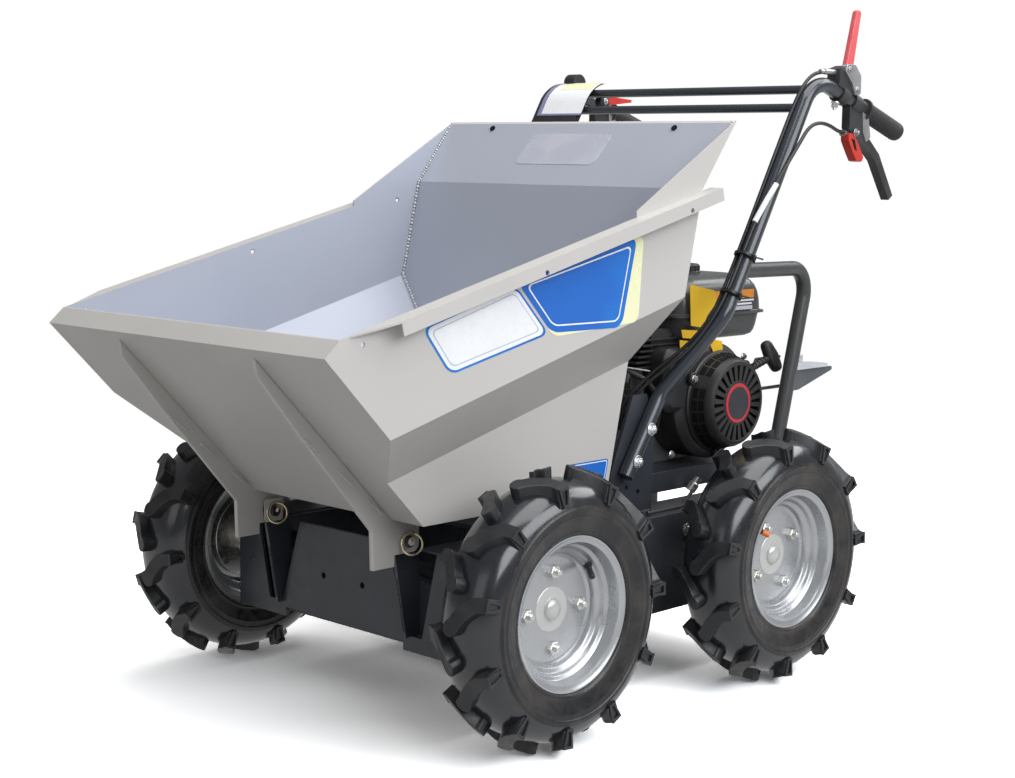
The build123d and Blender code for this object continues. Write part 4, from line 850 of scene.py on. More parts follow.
# ---- wheels --------------------------------------------------------------------------------------------
@dataclass
class Wheel:
    """One wheel: lugged tyre, pressed rim, hub with its nuts, and a valve. Local x points away from the machine."""

    axle: str
    side: str
    sign: int
    bolt_turn: float
    lug_count: int = 11
    valve_turn: float = 40.0
    valve_cap: Finish = BLACK_PLASTIC
    top_r: float = 207.3
    lug_depth: float = 27.0
    crown_drop: float = 17.0  # of a lug's top, from its inner end to the shoulder
    crown_start: float = -4.0
    crown_run: float = 55.0
    crown_power: float = 1.35
    lug_middle: float = 22.0
    lug_flare: float = 1.06  # of a lug's foot along x
    lug_draft: float = 2.4  # of a lug's flanks
    wall_r: float = 156.5  # below it the carcass is sidewall
    carcass: Outline = (
        (0.0, 189.6), (12.0, 188.9), (22.0, 187.0), (31.0, 183.6), (39.0, 178.6), (45.5, 172.0), (50.0, 164.6),
        (52.6, 157.6), (53.2, 154.6), (54.4, 153.6), (54.9, 151.6), (54.3, 149.8), (53.0, 148.6), (52.4, 143.0),
        (52.9, 141.6), (52.2, 140.0), (50.9, 135.0), (49.2, 129.0), (47.3, 123.0), (46.9, 119.6), (47.5, 118.4),
        (46.8, 117.0), (45.6, 115.0), (44.2, 113.9), (41.5, 113.2), (38.0, 110.0), (34.0, 104.0), (30.0, 101.0),
    )  # half of the section as (x, radius), from the crown to the bead
    lug_upper: Outline = ((51.0, 30.5), (36.0, 29.4), (27.0, 24.5), (16.0, 13.5), (6.0, 1.5), (1.0, -7.5))
    lug_end: Outline = ((-4.0, -10.5), (-7.2, -17.0), (-6.6, -25.0), (-1.6, -31.0), (5.6, -32.0))
    lug_lower: Outline = ((12.0, -28.4), (16.5, -19.5), (26.0, -6.0), (36.0, 4.5), (42.0, 8.2), (51.0, 8.8))
    block: Outline = ((8.6, 190.6), (31.0, 190.6), (29.4, 176.0), (27.0, 160.5), (13.4, 160.5), (10.6, 176.0))
    block_in: float = 38.0
    block_out: float = 54.8
    pocket_margin: float = 4.6
    pocket_depth: float = 5.0
    rim_outer: Outline = (
        (112.6, 40.6), (113.4, 42.0), (112.6, 43.2), (110.6, 43.2), (108.6, 41.8), (106.0, 40.6), (102.6, 39.4),
        (101.0, 36.0), (99.8, 28.0), (98.6, 22.6), (96.4, 20.6), (93.8, 19.6), (92.2, 17.8), (91.0, 13.8),
        (88.6, 11.6), (84.6, 10.4), (82.2, 8.0), (81.2, 3.6), (80.2, -0.4), (77.6, -2.0), (74.0, -2.4),
        (44.0, -2.5), (30.0, -2.5),
    )  # (radius, x) from the flange's edge over the well to the disc's hole
    rim_inner: Outline = (
        (81.2, 3.6), (80.2, -5.0), (80.6, -16.0), (84.0, -19.0), (92.0, -22.0), (96.0, -25.0), (99.8, -30.0),
        (101.0, -36.5), (104.0, -39.6), (109.0, -41.2), (112.6, -43.0), (113.4, -41.0),
    )
    sheet: float = 2.4
    disc_x: float = -2.5
    bolt_circle: float = 55.5
    washer_r: float = 33.0
    shaft_end: float = 150.0  # from the machine's middle
    valve_r: float = 86.0
    centre: Vector = field(init=False)

    def __post_init__(self) -> None:
        """Read the wheel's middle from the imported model."""
        low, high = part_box(f"rim_{self.axle}_{self.side}")
        self.centre = (Vector(low) + Vector(high)) / 2 / MM

    @property
    def body(self) -> str:
        """The body that the wheel's pieces ride on."""
        return f"wheel_{self.axle}_{self.side}"

    @property
    def place(self) -> Matrix:
        """The matrix from the wheel's local frame to the model's."""
        return Matrix.Translation(self.centre) @ Matrix.Diagonal((self.sign, 1.0, 1.0, 1.0))

    @property
    def axle_frame(self) -> Matrix:
        """A frame whose z is the local x, for turned shapes."""
        return sideways((0.0, 0.0, 0.0))

    def build(self) -> None:
        """Make every piece of the wheel."""
        self.tyre()
        self.rim()
        self.hub()
        self.valve()

    def lug_mesh(self) -> bpy.types.Mesh:
        """Shape one lug of the outer half at the angle 0.

        Returns:
            The lug's mesh.
        """
        shape = Shape()
        shape.plate(self.lug_upper + self.lug_end + self.lug_lower, -self.lug_depth, Matrix())
        for vert in shape.bm.verts:
            if vert.co.z < -1.0:
                vert.co.x = self.lug_middle + (vert.co.x - self.lug_middle) * self.lug_flare
                vert.co.y += self.lug_draft * (1.0 if vert.co.y > self.spine(vert.co.x) else -1.0)
        bmesh.ops.recalc_face_normals(shape.bm, faces=shape.bm.faces)
        shape.soften(1.6, 25.0, 2)
        for vert in shape.bm.verts:
            share = max(vert.co.x - self.crown_start, 0.0) / self.crown_run
            self.bend_round(vert, self.top_r + vert.co.z - self.crown_drop * share**self.crown_power)
        self.add_block(shape)
        return shape.baked("lug")

    def bend_round(self, vert: bmesh.types.BMVert, radius: float) -> None:
        """Bend a vertex of the flat tread round the axle, to this radius."""
        turn = -vert.co.y / self.top_r
        vert.co = Vector((vert.co.x, radius * math.cos(turn), radius * math.sin(turn)))

    def spine(self, x: float) -> float:
        """The middle of the lug along the tread at this x."""
        return -20.0 + 39.0 * min(max(x / 38.0, 0.0), 1.0)

    def add_block(self, shape: Shape) -> None:
        """Add the lug's square end on the shoulder, with the pocket in its outer face.

        Args:
            shape: The lug's mesh.
        """
        end = Shape()
        faces = end.plate(self.block, self.block_out - self.block_in, sideways((self.block_in, 0.0, 0.0)))
        bmesh.ops.inset_region(end.bm, faces=faces, thickness=self.pocket_margin, use_even_offset=True)
        inner = [face for face in faces if face.is_valid]
        grown = bmesh.ops.extrude_face_region(end.bm, geom=inner)["geom"]
        sunk = [item for item in grown if isinstance(item, bmesh.types.BMVert)]
        bmesh.ops.delete(end.bm, geom=inner, context="FACES_ONLY")
        bmesh.ops.translate(end.bm, verts=sunk, vec=(-self.pocket_depth, 0.0, 0.0))
        bmesh.ops.recalc_face_normals(end.bm, faces=end.bm.faces)
        end.soften(1.0, 30.0, 2)
        for vert in end.bm.verts:
            self.bend_round(vert, vert.co.z)
        shape.bm.from_mesh(end.baked("block"))

    def tyre(self) -> None:
        """Make the tyre: a turned carcass and two rows of lugs, half a pitch apart."""
        shape = Shape()
        half = [(radius, x) for x, radius in self.carcass]
        section = [(r, -x) for r, x in reversed(half[1:])] + half
        shape.lathe(section, self.axle_frame, 132, closed=True)
        carcass = set(shape.bm.faces)
        lug = self.lug_mesh()
        pitch = math.tau / self.lug_count
        for flip, first in ((1, -math.pi / 2), (-1, -math.pi / 2 + pitch / 2)):
            for i in range(self.lug_count):
                before = len(shape.bm.verts)
                shape.bm.from_mesh(lug)
                shape.bm.verts.ensure_lookup_table()
                turn = Matrix.Rotation(first + pitch * i, 4, "X") @ Matrix.Diagonal((flip, 1.0, 1.0, 1.0))
                bmesh.ops.transform(shape.bm, matrix=turn, verts=shape.bm.verts[before:])
        place = shape.bm.verts.layers.float_vector.new("wheel_place")
        for vert in shape.bm.verts:
            vert[place] = vert.co * MM
        for face in shape.bm.faces:
            middle = face.calc_center_median()
            wall = math.hypot(middle.y, middle.z) < self.wall_r and abs(middle.x) > self.carcass[-1][0]
            face.material_index = int(wall) if face in carcass else 2
        shape.move(self.place)
        name = f"tyre_{self.axle}_{self.side}"
        piece = shape.piece(f"{name}_lugged", self.body, "tyre_rubber", TYRE_RUBBER, [name], sharp=40.0)
        piece.data.materials.append(SIDEWALL.material())
        piece.data.materials.append(LUG_RUBBER.material())

    def rim(self) -> None:
        """Make the rim: one pressed sheet with its disc, well and rolled flanges."""
        shape = Shape()
        shape.lathe(self.rim_outer, self.axle_frame, 96)
        shape.lathe(self.rim_inner, self.axle_frame, 96)
        bmesh.ops.remove_doubles(shape.bm, verts=shape.bm.verts, dist=MERGE)
        bmesh.ops.recalc_face_normals(shape.bm, faces=shape.bm.faces)
        bmesh.ops.solidify(shape.bm, geom=shape.bm.faces[:], thickness=self.sheet)
        shape.move(self.place)
        name = f"rim_{self.axle}_{self.side}"
        shape.piece(f"{name}_pressed", self.body, "rim_grey", RIM_PAINT, [name])

    def hub(self) -> None:
        """Make the hub behind the disc, the big washer with its cap, and the nuts on their studs."""
        shape, washer = Shape(), Shape()
        inner = self.shaft_end - abs(self.centre.x)
        out, back, washer_r = self.disc_x, self.disc_x - 5.1, self.washer_r
        shape.lathe(
            ((0.0, inner), (12.5, inner), (12.5, back - 44.0), (27.0, back - 44.0), (28.0, back - 43.0),
             (28.0, back - 8.0), (69.0, back - 8.0), (70.0, back - 7.0), (70.0, back), (0.0, back)),
            self.axle_frame,
            56,
        )
        washer.lathe(
            ((0.0, out + 0.1), (washer_r, out + 0.1), (washer_r, out + 2.6), (washer_r - 0.8, out + 3.2),
             (18.0, out + 3.2), (16.4, out + 4.2), (15.4, out + 6.6), (13.4, out + 9.0), (10.0, out + 10.8),
             (5.6, out + 11.8), (0.0, out + 12.1)),
            self.axle_frame,
            56,
        )
        washer.move(self.place)
        washer.piece(f"hub_washer_{self.axle}_{self.side}", self.body, "zinc", HUB_GREY)
        for i in range(4):
            turn = math.radians(self.bolt_turn) + math.tau * i / 4
            spot = (out, self.bolt_circle * math.cos(turn), self.bolt_circle * math.sin(turn))
            fastener(shape, spot, LEFT, 10.2, 12.6, 10.5, 7.5)
        shape.move(self.place)
        name = f"hub_{self.axle}_{self.side}"
        shape.piece(f"{name}_bolted", self.body, "zinc", ZINC, [name])

    def valve(self) -> None:
        """Make the tyre valve's rubber stem and its cap, leaning out of the well."""
        turn = math.radians(self.valve_turn)
        foot = Vector((10.0, self.valve_r * math.cos(turn), self.valve_r * math.sin(turn)))
        lean = Vector((0.72, -0.62 * math.cos(turn), -0.62 * math.sin(turn)))
        stem = facing(foot, lean, REAR)
        shape = Shape()
        shape.lathe(
            ((0.0, -3.0), (7.0, -3.0), (7.0, 0.0), (4.8, 3.0), (4.2, 16.0), (3.4, 16.6), (3.4, 20.0), (0.0, 20.0)),
            stem,
            20,
        )
        shape.move(self.place)
        shape.piece(f"valve_{self.axle}_{self.side}", self.body, "plastic_black", BLACK_PLASTIC)
        cap = Shape()
        cap.lathe(((0.0, 16.8), (4.6, 16.8), (4.8, 18.0), (4.8, 27.0), (3.8, 28.4), (0.0, 28.4)), stem, 14)
        cap.move(self.place)
        cap.piece(f"valve_cap_{self.axle}_{self.side}", self.body, "plastic_black", self.valve_cap)


# ---- skip ----------------------------------------------------------------------------------------------
@dataclass
class Skip:
    """The tipping skip: folded sheets with rounded folds, weld beads, blank films and its hinge pins."""

    frame: dict
    body: str = "skip"
    half: float = 320.0
    lower_half: float = 229.0
    fold_r: float = 3.6
    rim_rise: float = 0.2535
    edge_r: float = 0.8
    load_middle: Point = (0.0, -230.0, 560.0)
    panel_normal: Point = (0.0, -0.794, 0.608)  # of the raised rear panel
    rim_end: Outline = ((318.0, -640.0), (318.0, -560.0), (345.0, -560.0), (345.0, -568.0))
    beads: tuple[Bead, ...] = (
        ((315.5, 38.9, 633.0), (315.5, 75.5, 797.0), 2.8, 6.0),
        ((313.0, 38.0, 636.0), (222.0, 14.8, 533.0), 2.4, 6.0),
        ((315.5, 77.0, 801.0), (315.5, 157.0, 904.0), 2.4, 5.0),
    )
    rib_x: float = 157.0
    rib_runs: Outline = ((0.06, 0.24), (0.42, 0.6), (0.78, 0.95))  # shares of the rib's length
    white_film: Outline = ((-508.0, 619.0), (-456.0, 553.0), (-262.0, 597.0), (-331.0, 669.0))
    blue_film: Outline = ((-328.0, 673.0), (-257.0, 598.0), (-104.0, 597.0), (-72.0, 730.0))
    cream_film: Outline = ((-330.0, 675.0), (-252.0, 592.0), (-66.0, 603.0), (-57.0, 733.0))
    low_film: Outline = ((-116.0, 380.0), (-104.0, 346.0), (-30.0, 346.0), (-22.0, 380.0))
    tab_sheet: float = 1.6
    hinge_tab: Outline = ((-407.0, 274.0), (-371.0, 274.0), (-371.0, 310.0), (-407.0, 310.0))
    rear_plate: Outline = ((-108.0, 42.0), (-96.0, 106.0), (82.0, 106.0), (72.0, 42.0))

    def build(self) -> None:
        """Make every piece."""
        self.tub()
        for side in ("left", "right"):
            softened(self.frame, f"skip_rib_{side}", SKIP_PAINT, "skip_grey", self.body, 1.4)
        self.welds()
        for side, sign in SIDES:
            self.films(side, sign)
            self.pin(side, sign)
        self.plate()

    def tub(self) -> None:
        """Copy the folded tub, round its folds, break its sheet's edges and paint shade and a sky reflection onto its
        inner faces.
        """
        shape = Shape.copied(self.frame, "skip_tub")
        shape.soften(self.fold_r, 6.0, 3, 75.0)
        shape.soften(self.edge_r, 75.0, 2, 105.0)
        bmesh.ops.recalc_face_normals(shape.bm, faces=shape.bm.faces)
        # Faces towards the load take the second material, with its painted shade and painted sky reflection.
        load = Vector(self.load_middle)
        for face in shape.bm.faces:
            middle = face.calc_center_median()
            face.material_index = int(face.normal.dot(load - middle) > 0.0 and abs(middle.x) < self.half - 1.0)
        tub = shape.piece("skip_tub_shell", self.body, "skip_grey", SKIP_PAINT, ["skip_tub"], 28.0)
        tub.data.materials.append(SKIP_INSIDE_SHADE_AND_SKY.material())
        self.rim_ends()
        self.plugs()

    def rim_ends(self) -> None:
        """Taper the front ends of the side rims."""
        shape = Shape()
        place = facing((0.0, 0.0, self.rim_z(0.0) - 2.6), (0.0, -self.rim_rise, 1.0), LEFT)
        for sign in (1, -1):
            turned = [(sign * x, y * math.hypot(1.0, self.rim_rise)) for x, y in self.rim_end]
            shape.plate(turned if sign > 0 else turned[::-1], 2.5, place)
        shape.piece("skip_rim_ends", self.body, "skip_grey", SKIP_PAINT)

    def plugs(self) -> None:
        """Close the two round holes in the raised rear panel."""
        shape = Shape()
        for x in (-205.0, 205.0):
            place = facing((x, 152.0, 893.5), self.panel_normal, LEFT)
            shape.lathe(((0, -3.2), (5.2, -3.2), (5.2, 3.4), (0, 3.8)), place, 20)
        shape.piece("rear_panel_plugs", self.body, "skip_grey", SHADE_AND_PLUG_BLACK)

    def rim_z(self, y: float) -> float:
        """The height of the side rim's top at this y."""
        return 758.0 + (y + 74.0) * self.rim_rise

    def welds(self) -> None:
        """Lay the weld beads in the inner rear corners, beside the raised rear panel and in runs along the ribs."""
        shape = Shape()
        for sign in (1, -1):
            for start, end, radius, pitch in self.beads:
                weld_bead(shape, mirrored(start, sign), mirrored(end, sign), radius, pitch)
            for offset in (5.5, -5.5):
                x = sign * self.rib_x + offset
                top, foot = Vector((x, -588.0, 467.0)), Vector((x, -430.0, 331.0))
                for low, high in self.rib_runs:
                    weld_bead(shape, top.lerp(foot, low), top.lerp(foot, high), 1.9, 3.8)
        shape.piece("skip_welds", self.body, "skip_grey", WELD)

    def film(self, shape: Shape, outline: Outline, x: float, sign: int, lift: float, corner: float) -> None:
        """Lay a thin film on a side panel.

        Args:
            shape: The mesh that takes it.
            outline: Its corners as (y, z).
            x: The panel's distance from the middle.
            sign: Which side it is on.
            lift: How far its face stands off the panel.
            corner: The radius of its corners.
        """
        sunk = 0.4
        place = sideways((sign * (x - sunk), 0.0, 0.0), sign)
        shape.plate(on_side(outline, sign), sunk + lift, place, corner)

    def films(self, side: str, sign: int) -> None:
        """Lay the blank films: blue on pale yellow with a white line, white with a blue edge, and a small blue one.

        Args:
            side: The side's name.
            sign: Which side it is.
        """
        cream, blue, white, low = self.cream_film, self.blue_film, self.white_film, self.low_film
        high_x, low_x = self.half, self.lower_half
        layers = (
            ("cream", CREAM_DECAL, cream, 0.0, high_x, 0.3, 14.0),
            ("blue", BLUE_DECAL, blue, 0.0, high_x, 0.5, 16.0),
            ("blue_line", WHITE_DECAL, blue, 9.0, high_x, 0.6, 11.0),
            ("blue_field", BLUE_DECAL, blue, 11.2, high_x, 0.7, 10.0),
            ("white_edge", BLUE_DECAL, white, 0.0, high_x, 0.5, 15.0),
            ("white", WHITE_DECAL, white, 3.2, high_x, 0.6, 13.0),
            ("white_line", GREY_LINE, white, 9.0, high_x, 0.7, 9.0),
            ("white_field", WHITE_DECAL, white, 10.6, high_x, 0.8, 8.5),
            ("low_edge", BLUE_DECAL, low, 0.0, low_x, 0.4, 6.0),
            ("low_line", WHITE_DECAL, low, 2.2, low_x, 0.5, 4.46),
            ("low_field", BLUE_DECAL, low, 3.6, low_x, 0.6, 3.48),
        )
        for name, finish, outline, inset, x, lift, corner in layers:
            shape = Shape()
            self.film(shape, shrunk(outline, inset), x, sign, lift, corner)
            shape.piece(f"film_{name}_{side}", self.body, "skip_grey", finish)

    def plate(self) -> None:
        """Lay the silvery blank plate inside the raised rear panel."""
        place = facing((0.0, 81.0, 799.0), self.panel_normal, LEFT)
        shape = Shape()
        shape.plate(self.rear_plate, 0.9, place @ Matrix.Translation((0.0, 0.0, 2.3)), 12.0)
        shape.piece("rear_panel_plate", self.body, "skip_grey", SILVER_PLATE)

    def pin(self, side: str, sign: int) -> None:
        """Put the pin's knob and pull ring to the left of the lug, on the right side with a light tab behind them.

        Args:
            side: The side's name.
            sign: Which side it is.
        """
        x = 166.5 if sign > 0 else -145.6
        knob, ring = Shape(), Shape()
        if sign < 0:
            tab = Shape()
            tab.plate(self.hinge_tab, self.tab_sheet, sideways((x - 0.1, 0.0, 0.0)), 5.0)
            tab.piece(f"hinge_tab_{side}", self.body, "skip_grey", SKIP_PAINT)
            x += self.tab_sheet
        head = sideways((x, -388.0, 291.0))
        knob.lathe(((0, 0), (9.0, 0), (9.0, 4.4), (8.0, 5.4), (4.0, 5.8), (0, 5.8)), head, 26)
        knob.piece(f"hinge_knob_{side}", self.body, "plastic_black", BLACK_PLASTIC)
        hoop = facing((x + 7.0, -388.0, 288.0), (0.9, -0.35, 0.25), REAR)
        ring.ring(16.0, 1.7, hoop)
        ring.tube(((x + 6.6, -388.0, 291.0), (x + 12.0, -390.0, 300.5)), 2.2, 0.0, 12)
        ring.piece(f"hinge_ring_{side}", self.body, "zinc", GOLD_ZINC)


def shrunk(outline: Outline, inset: float) -> list[tuple[float, float]]:
    """Move the sides of a convex outline inwards.

    Args:
        outline: Its corners.
        inset: How far each side moves.

    Returns:
        The corners of the smaller outline.
    """
    corners = [Vector(corner) for corner in outline]
    middle = sum(corners, Vector((0.0, 0.0))) / len(corners)
    made = []
    for i, corner in enumerate(corners):
        back = (corners[i - 1] - corner).normalized()
        ahead = (corners[(i + 1) % len(corners)] - corner).normalized()
        inside = back.angle(ahead)
        towards = (back + ahead).normalized()
        if towards.dot(middle - corner) < 0.0:
            towards.negate()
        made.append(tuple(corner + towards * inset / math.sin(inside / 2)))
    return made


# ---- chassis -------------------------------------------------------------------------------------------
@dataclass
class Chassis:
    """Frame, front plate, axle housings, gearbox and tray with their welds and bolts."""

    frame: dict
    body: str = "chassis"
    shelf_z: float = 487.0
    shelf_sheet: float = 3.0
    shelf_plate: Outline = (
        (263.0, 404.0), (263.0, 520.0), (246.0, 546.0), (214.0, 546.0), (200.0, 525.0), (205.0, 480.0),
        (240.0, 440.0), (248.0, 404.0),
    )
    shelf_walls: tuple[tuple[float, Outline], ...] = (
        (256.0, ((404.0, 486.6), (540.0, 486.6), (540.0, 480.0), (440.0, 452.0), (404.0, 452.0))),
        (208.0, ((470.0, 486.6), (528.0, 486.6), (528.0, 480.0), (490.0, 462.0), (470.0, 462.0))),
    )  # x of each wall and its outline as (y, z)
    beads: tuple[Bead, ...] = (
        ((148.4, -380.7, 152.0), (148.4, -394.7, 232.0), 1.8, 3.6),
        ((211.0, 14.0, 278.0), (211.0, 100.0, 278.0), 2.8, 4.6),
        ((232.0, -84.0, 278.5), (196.0, -84.0, 278.5), 2.6, 4.4),
    )
    linkage: tuple[tuple[Route, float, float], ...] = (
        (((238.0, 64.0, 282.0), (238.0, 150.0, 282.0), (214.0, 214.0, 300.0)), 3.0, 18.0),
        (((205.0, 517.0, 484.0), (205.0, 517.0, 452.0), (205.0, 360.0, 452.0), (176.0, 316.0, 336.0)), 3.0, 14.0),
        (((196.0, 470.0, 503.0), (196.0, 400.0, 503.0), (230.0, 350.0, 503.0)), 2.4, 10.0),
    )  # each rod's corners, its radius and the radius of its bends

    def build(self) -> None:
        """Make every piece."""
        plates = (("chassis_frame", 1.6), ("front_plate", 1.4), ("skip_rest", 1.4), ("engine_tray", 1.4))
        for node, width in plates + (("gearbox", 3.0), ("belt_cover", 2.0)):
            softened(self.frame, node, CHASSIS_PAINT, "chassis_black", self.body, width)
        for axle in ("front", "rear"):
            softened(self.frame, f"axle_housing_{axle}", CHASSIS_PAINT, "chassis_black", self.body, 1.0, 50.0)
        softened(self.frame, "skip_buffers", GRIP_RUBBER, "rubber_black", self.body, 2.0, 50.0)
        self.shelf()
        softened(self.frame, "gear_lever", ZINC, "zinc", self.body, 1.0, 50.0)
        self.welds()
        self.bolts()
        self.rods()

    def shelf(self) -> None:
        """Make the gear shelf: a rounded plate on a gusset in one grey paint, painted pale on top as painted light and
        dark on the gusset as painted shade.
        """
        top, gusset = Shape(), Shape()
        top.plate(self.shelf_plate, self.shelf_sheet, Matrix.Translation((0.0, 0.0, self.shelf_z)), 8.0)
        top.soften(0.8, 60.0)
        top.piece("shelf_top", self.body, "shelf_grey", SHELF_LIT_TOP, ["gear_shelf"])
        for x, wall in self.shelf_walls:
            gusset.plate(wall, self.shelf_sheet, sideways((x, 0.0, 0.0)), 3.0)
        gusset.soften(0.6, 60.0)
        gusset.piece("shelf_gusset", self.body, "shelf_grey", SHELF_SHADED_GUSSET)

    def welds(self) -> None:
        """Lay the weld beads on the hinge lugs' front edges, the brackets' feet and the skip rest's ends."""
        shape = Shape()
        for _, sign in SIDES:
            for start, end, radius, pitch in self.beads:
                weld_bead(shape, mirrored(start, sign), mirrored(end, sign), radius, pitch)
        shape.piece("chassis_welds", self.body, "chassis_black", CHASSIS_WELD)

    def bolts(self) -> None:
        """Add the bolts of the rails, the tray and the gear shelf."""
        shape = Shape()
        for _, sign in SIDES:
            for y in (-60.0, 150.0, 330.0):
                fastener(shape, (sign * 250.0, y, 246.0), (sign, 0.0, 0.0), 7.0, 9.5, 5.0, 0.0)
            for y in (96.0, 340.0):
                fastener(shape, (sign * 168.0, y, 334.0), UP, 6.0, 8.5, 5.0, 3.0)
        fastener(shape, (228.0, 470.0, 490.0), UP, 6.4, 9.0, 5.0, 3.0)
        shape.piece("chassis_bolts", self.body, "zinc", ZINC)

    def rods(self) -> None:
        """Add the thin linkage rods on the left rail and behind the guard's leg."""
        shape, fitting = Shape(), Shape()
        for route, radius, bend in self.linkage:
            shape.tube(route, radius, bend, 14)
        shape.piece("linkage_rods", self.body, "zinc", BLACK_METAL)
        place = facing((205.0, 214.0, 296.0), (0.3, 0.5, 0.8), LEFT)
        fitting.lathe(((0, 0), (9.0, 0), (9.0, 14.0), (7.0, 16.0), (7.0, 26.0), (0, 27.0)), place, 20)
        fitting.piece("drain_fitting", self.body, "zinc", ZINC)


# ---- engine --------------------------------------------------------------------------------------------
@dataclass
class Engine:
    """The open engine: crankcase, shrouds, recoil starter with its slots and pull handle, tank, filter, silencer."""

    frame: dict
    body: str = "chassis"
    crank: Point = (196.0, 294.0, 440.0)
    drum_r: float = 84.0
    drum_depth: float = 44.0
    slots: int = 24
    ears: tuple[float, ...] = (150.0, 38.0, 268.0)  # turn of the mounting ears in degrees
    openings: int = 24
    opening_rows: Outline = ((9.5, 18.8), (21.6, 31.0))  # each row's ends along the crankshaft
    opening_size: tuple[float, float] = (1.4, 16.4)
    taper: float = 0.27  # of the drum's side
    ear_clear: float = 9.0  # degrees beside an ear without an opening
    tank_centre: Point = (87.5, 326.0, 0.0)
    tank_half: tuple[float, float] = (97.5, 114.0)
    tank_floor: Levels = (
        (541.4, 26.0, 20.0), (542.6, 18.0, 24.0), (546.0, 11.0, 26.0), (552.0, 7.5, 27.0), (562.0, 5.0, 27.0),
        (583.0, 2.0, 27.0),
    )  # each level's height, its distance inside the widest outline and its corners' radius
    tank_roof: Levels = (
        (583.0, -1.0, 28.0), (583.0, -6.5, 33.0), (586.6, -6.5, 33.0), (587.0, -1.5, 29.0), (588.5, 0.4, 27.0),
        (606.0, 1.4, 27.0), (620.0, 3.4, 28.0), (630.0, 6.6, 29.0), (638.0, 11.5, 30.0), (644.0, 18.5, 30.0),
        (648.0, 28.0, 28.0), (650.0, 42.0, 24.0), (650.6, 60.0, 16.0),
    )
    card_x: float = 192.6
    card_sheet: float = 0.8
    hoses: tuple[tuple[Route, float, float], ...] = (
        (((150.0, 112.0, 500.0), (176.0, 128.0, 486.0), (182.0, 160.0, 452.0), (160.0, 176.0, 400.0)), 5.0, 20.0),
        (((120.0, 104.0, 470.0), (164.0, 108.0, 452.0), (172.0, 120.0, 392.0)), 4.0, 16.0),
    )  # each hose's corners, its radius and the radius of its bends

    def build(self) -> None:
        """Make every piece."""
        shells = (
            ("crankcase", ENGINE_METAL, "engine_metal", 2.2),
            ("cylinder_head", ENGINE_METAL, "engine_metal", 0.8),
            ("air_filter", BLACK_PLASTIC, "plastic_black", 3.0),
            ("silencer", BLACK_METAL, "silencer_steel", 2.4),
            ("fan_housing", ENGINE_SHROUD, "plastic_black", 4.0),
        )
        for node, finish, slot, width in shells:
            softened(self.frame, node, finish, slot, self.body, width)
        self.drum()
        self.louvres()
        self.badge()
        self.screws()
        self.pull_handle()
        self.tank()
        self.label()
        self.cards()
        self.intake()

    @property
    def face(self) -> Matrix:
        """The frame of the starter: z along the crankshaft, x rearwards and y up."""
        return sideways(self.crank)

    def around(self, turn: float) -> Matrix:
        """The starter's frame, turned about the crankshaft by this many degrees."""
        return self.face @ Matrix.Rotation(math.radians(turn), 4, "Z")

    def drum(self) -> None:
        """Turn the starter's drum and set the ribs between its radial slots."""
        shape = Shape()
        r, top = self.drum_r, self.drum_depth
        shape.lathe(
            ((0, 0), (r + 2, 0), (r + 2, 3), (r - 1, 5), (r - 2, 8), (r - 8.5, top - 12), (r - 11, top - 5),
             (r - 14, top - 1.6), (r - 19, top), (64.6, top), (63.6, top - 0.6), (63.0, top - 2), (62.6, top - 10),
             (0, top - 10)),
            self.face,
            96,
        )
        shape.lathe(((0, top - 11), (38, top - 11), (38, top - 1.4), (37, top - 0.2), (0, top)), self.face, 64)
        for i in range(self.slots):
            turned = self.face @ Matrix.Rotation(math.tau * (i + 0.5) / self.slots, 4, "Z")
            outline = ((36.0, -2.9), (63.5, -4.6), (63.5, 4.6), (36.0, 2.9))
            shape.plate(outline, 10.6, turned @ Matrix.Translation((0.0, 0.0, top - 11.0)))
        for turn in self.ears:
            ear = self.around(turn) @ Matrix.Translation((r + 3.0, 0.0, 0.0))
            shape.lathe(((0, 0), (11, 0), (11, 8), (10, 9.5), (0, 9.5)), ear, 24)
        shape.piece("recoil_drum", self.body, "plastic_black", BLACK_PLASTIC, ["recoil_starter"], 30.0)

    def louvres(self) -> None:
        """Paint the shade in the two rows of openings round the drum as near-black blocks, and the shade behind the
        radial slots as a near-black ring.
        """
        shape = Shape()
        lean = Matrix.Rotation(-math.atan(self.taper), 4, "Y")
        for low, high in self.opening_rows:
            middle = (low + high) / 2
            reach = Matrix.Translation((self.drum_r - 2.0 - self.taper * (middle - 8.0), 0.0, middle))
            for i in range(self.openings):
                turn = i * 360.0 / self.openings
                if any(abs((turn - ear + 180.0) % 360.0 - 180.0) < self.ear_clear for ear in self.ears):
                    continue
                shape.cuboid((*self.opening_size, high - low), (0, 0, 0), self.around(turn) @ reach @ lean)
        shape.lathe(((38.2, 34.3), (62.5, 34.3)), self.face, 64)
        shape.piece("recoil_slot_shade", self.body, "plastic_black", SHADE_AND_PLUG_BLACK)

    def badge(self) -> None:
        """Set the blank round badge: a red ring about a dark disc."""
        top = self.drum_depth
        ring, disc = Shape(), Shape()
        rim = ((0, top - 0.2), (33.4, top - 0.2), (33.4, top + 0.5), (32.6, top + 1.0), (0, top + 1.0))
        ring.lathe(rim, self.face, 56)
        ring.piece("badge_ring", self.body, "plastic_black", RED_DECAL)
        disc.lathe(((0, top + 0.8), (28.0, top + 0.8), (27.8, top + 1.3), (0, top + 1.3)), self.face, 48)
        disc.piece("badge_disc", self.body, "plastic_black", DARK_DECAL)

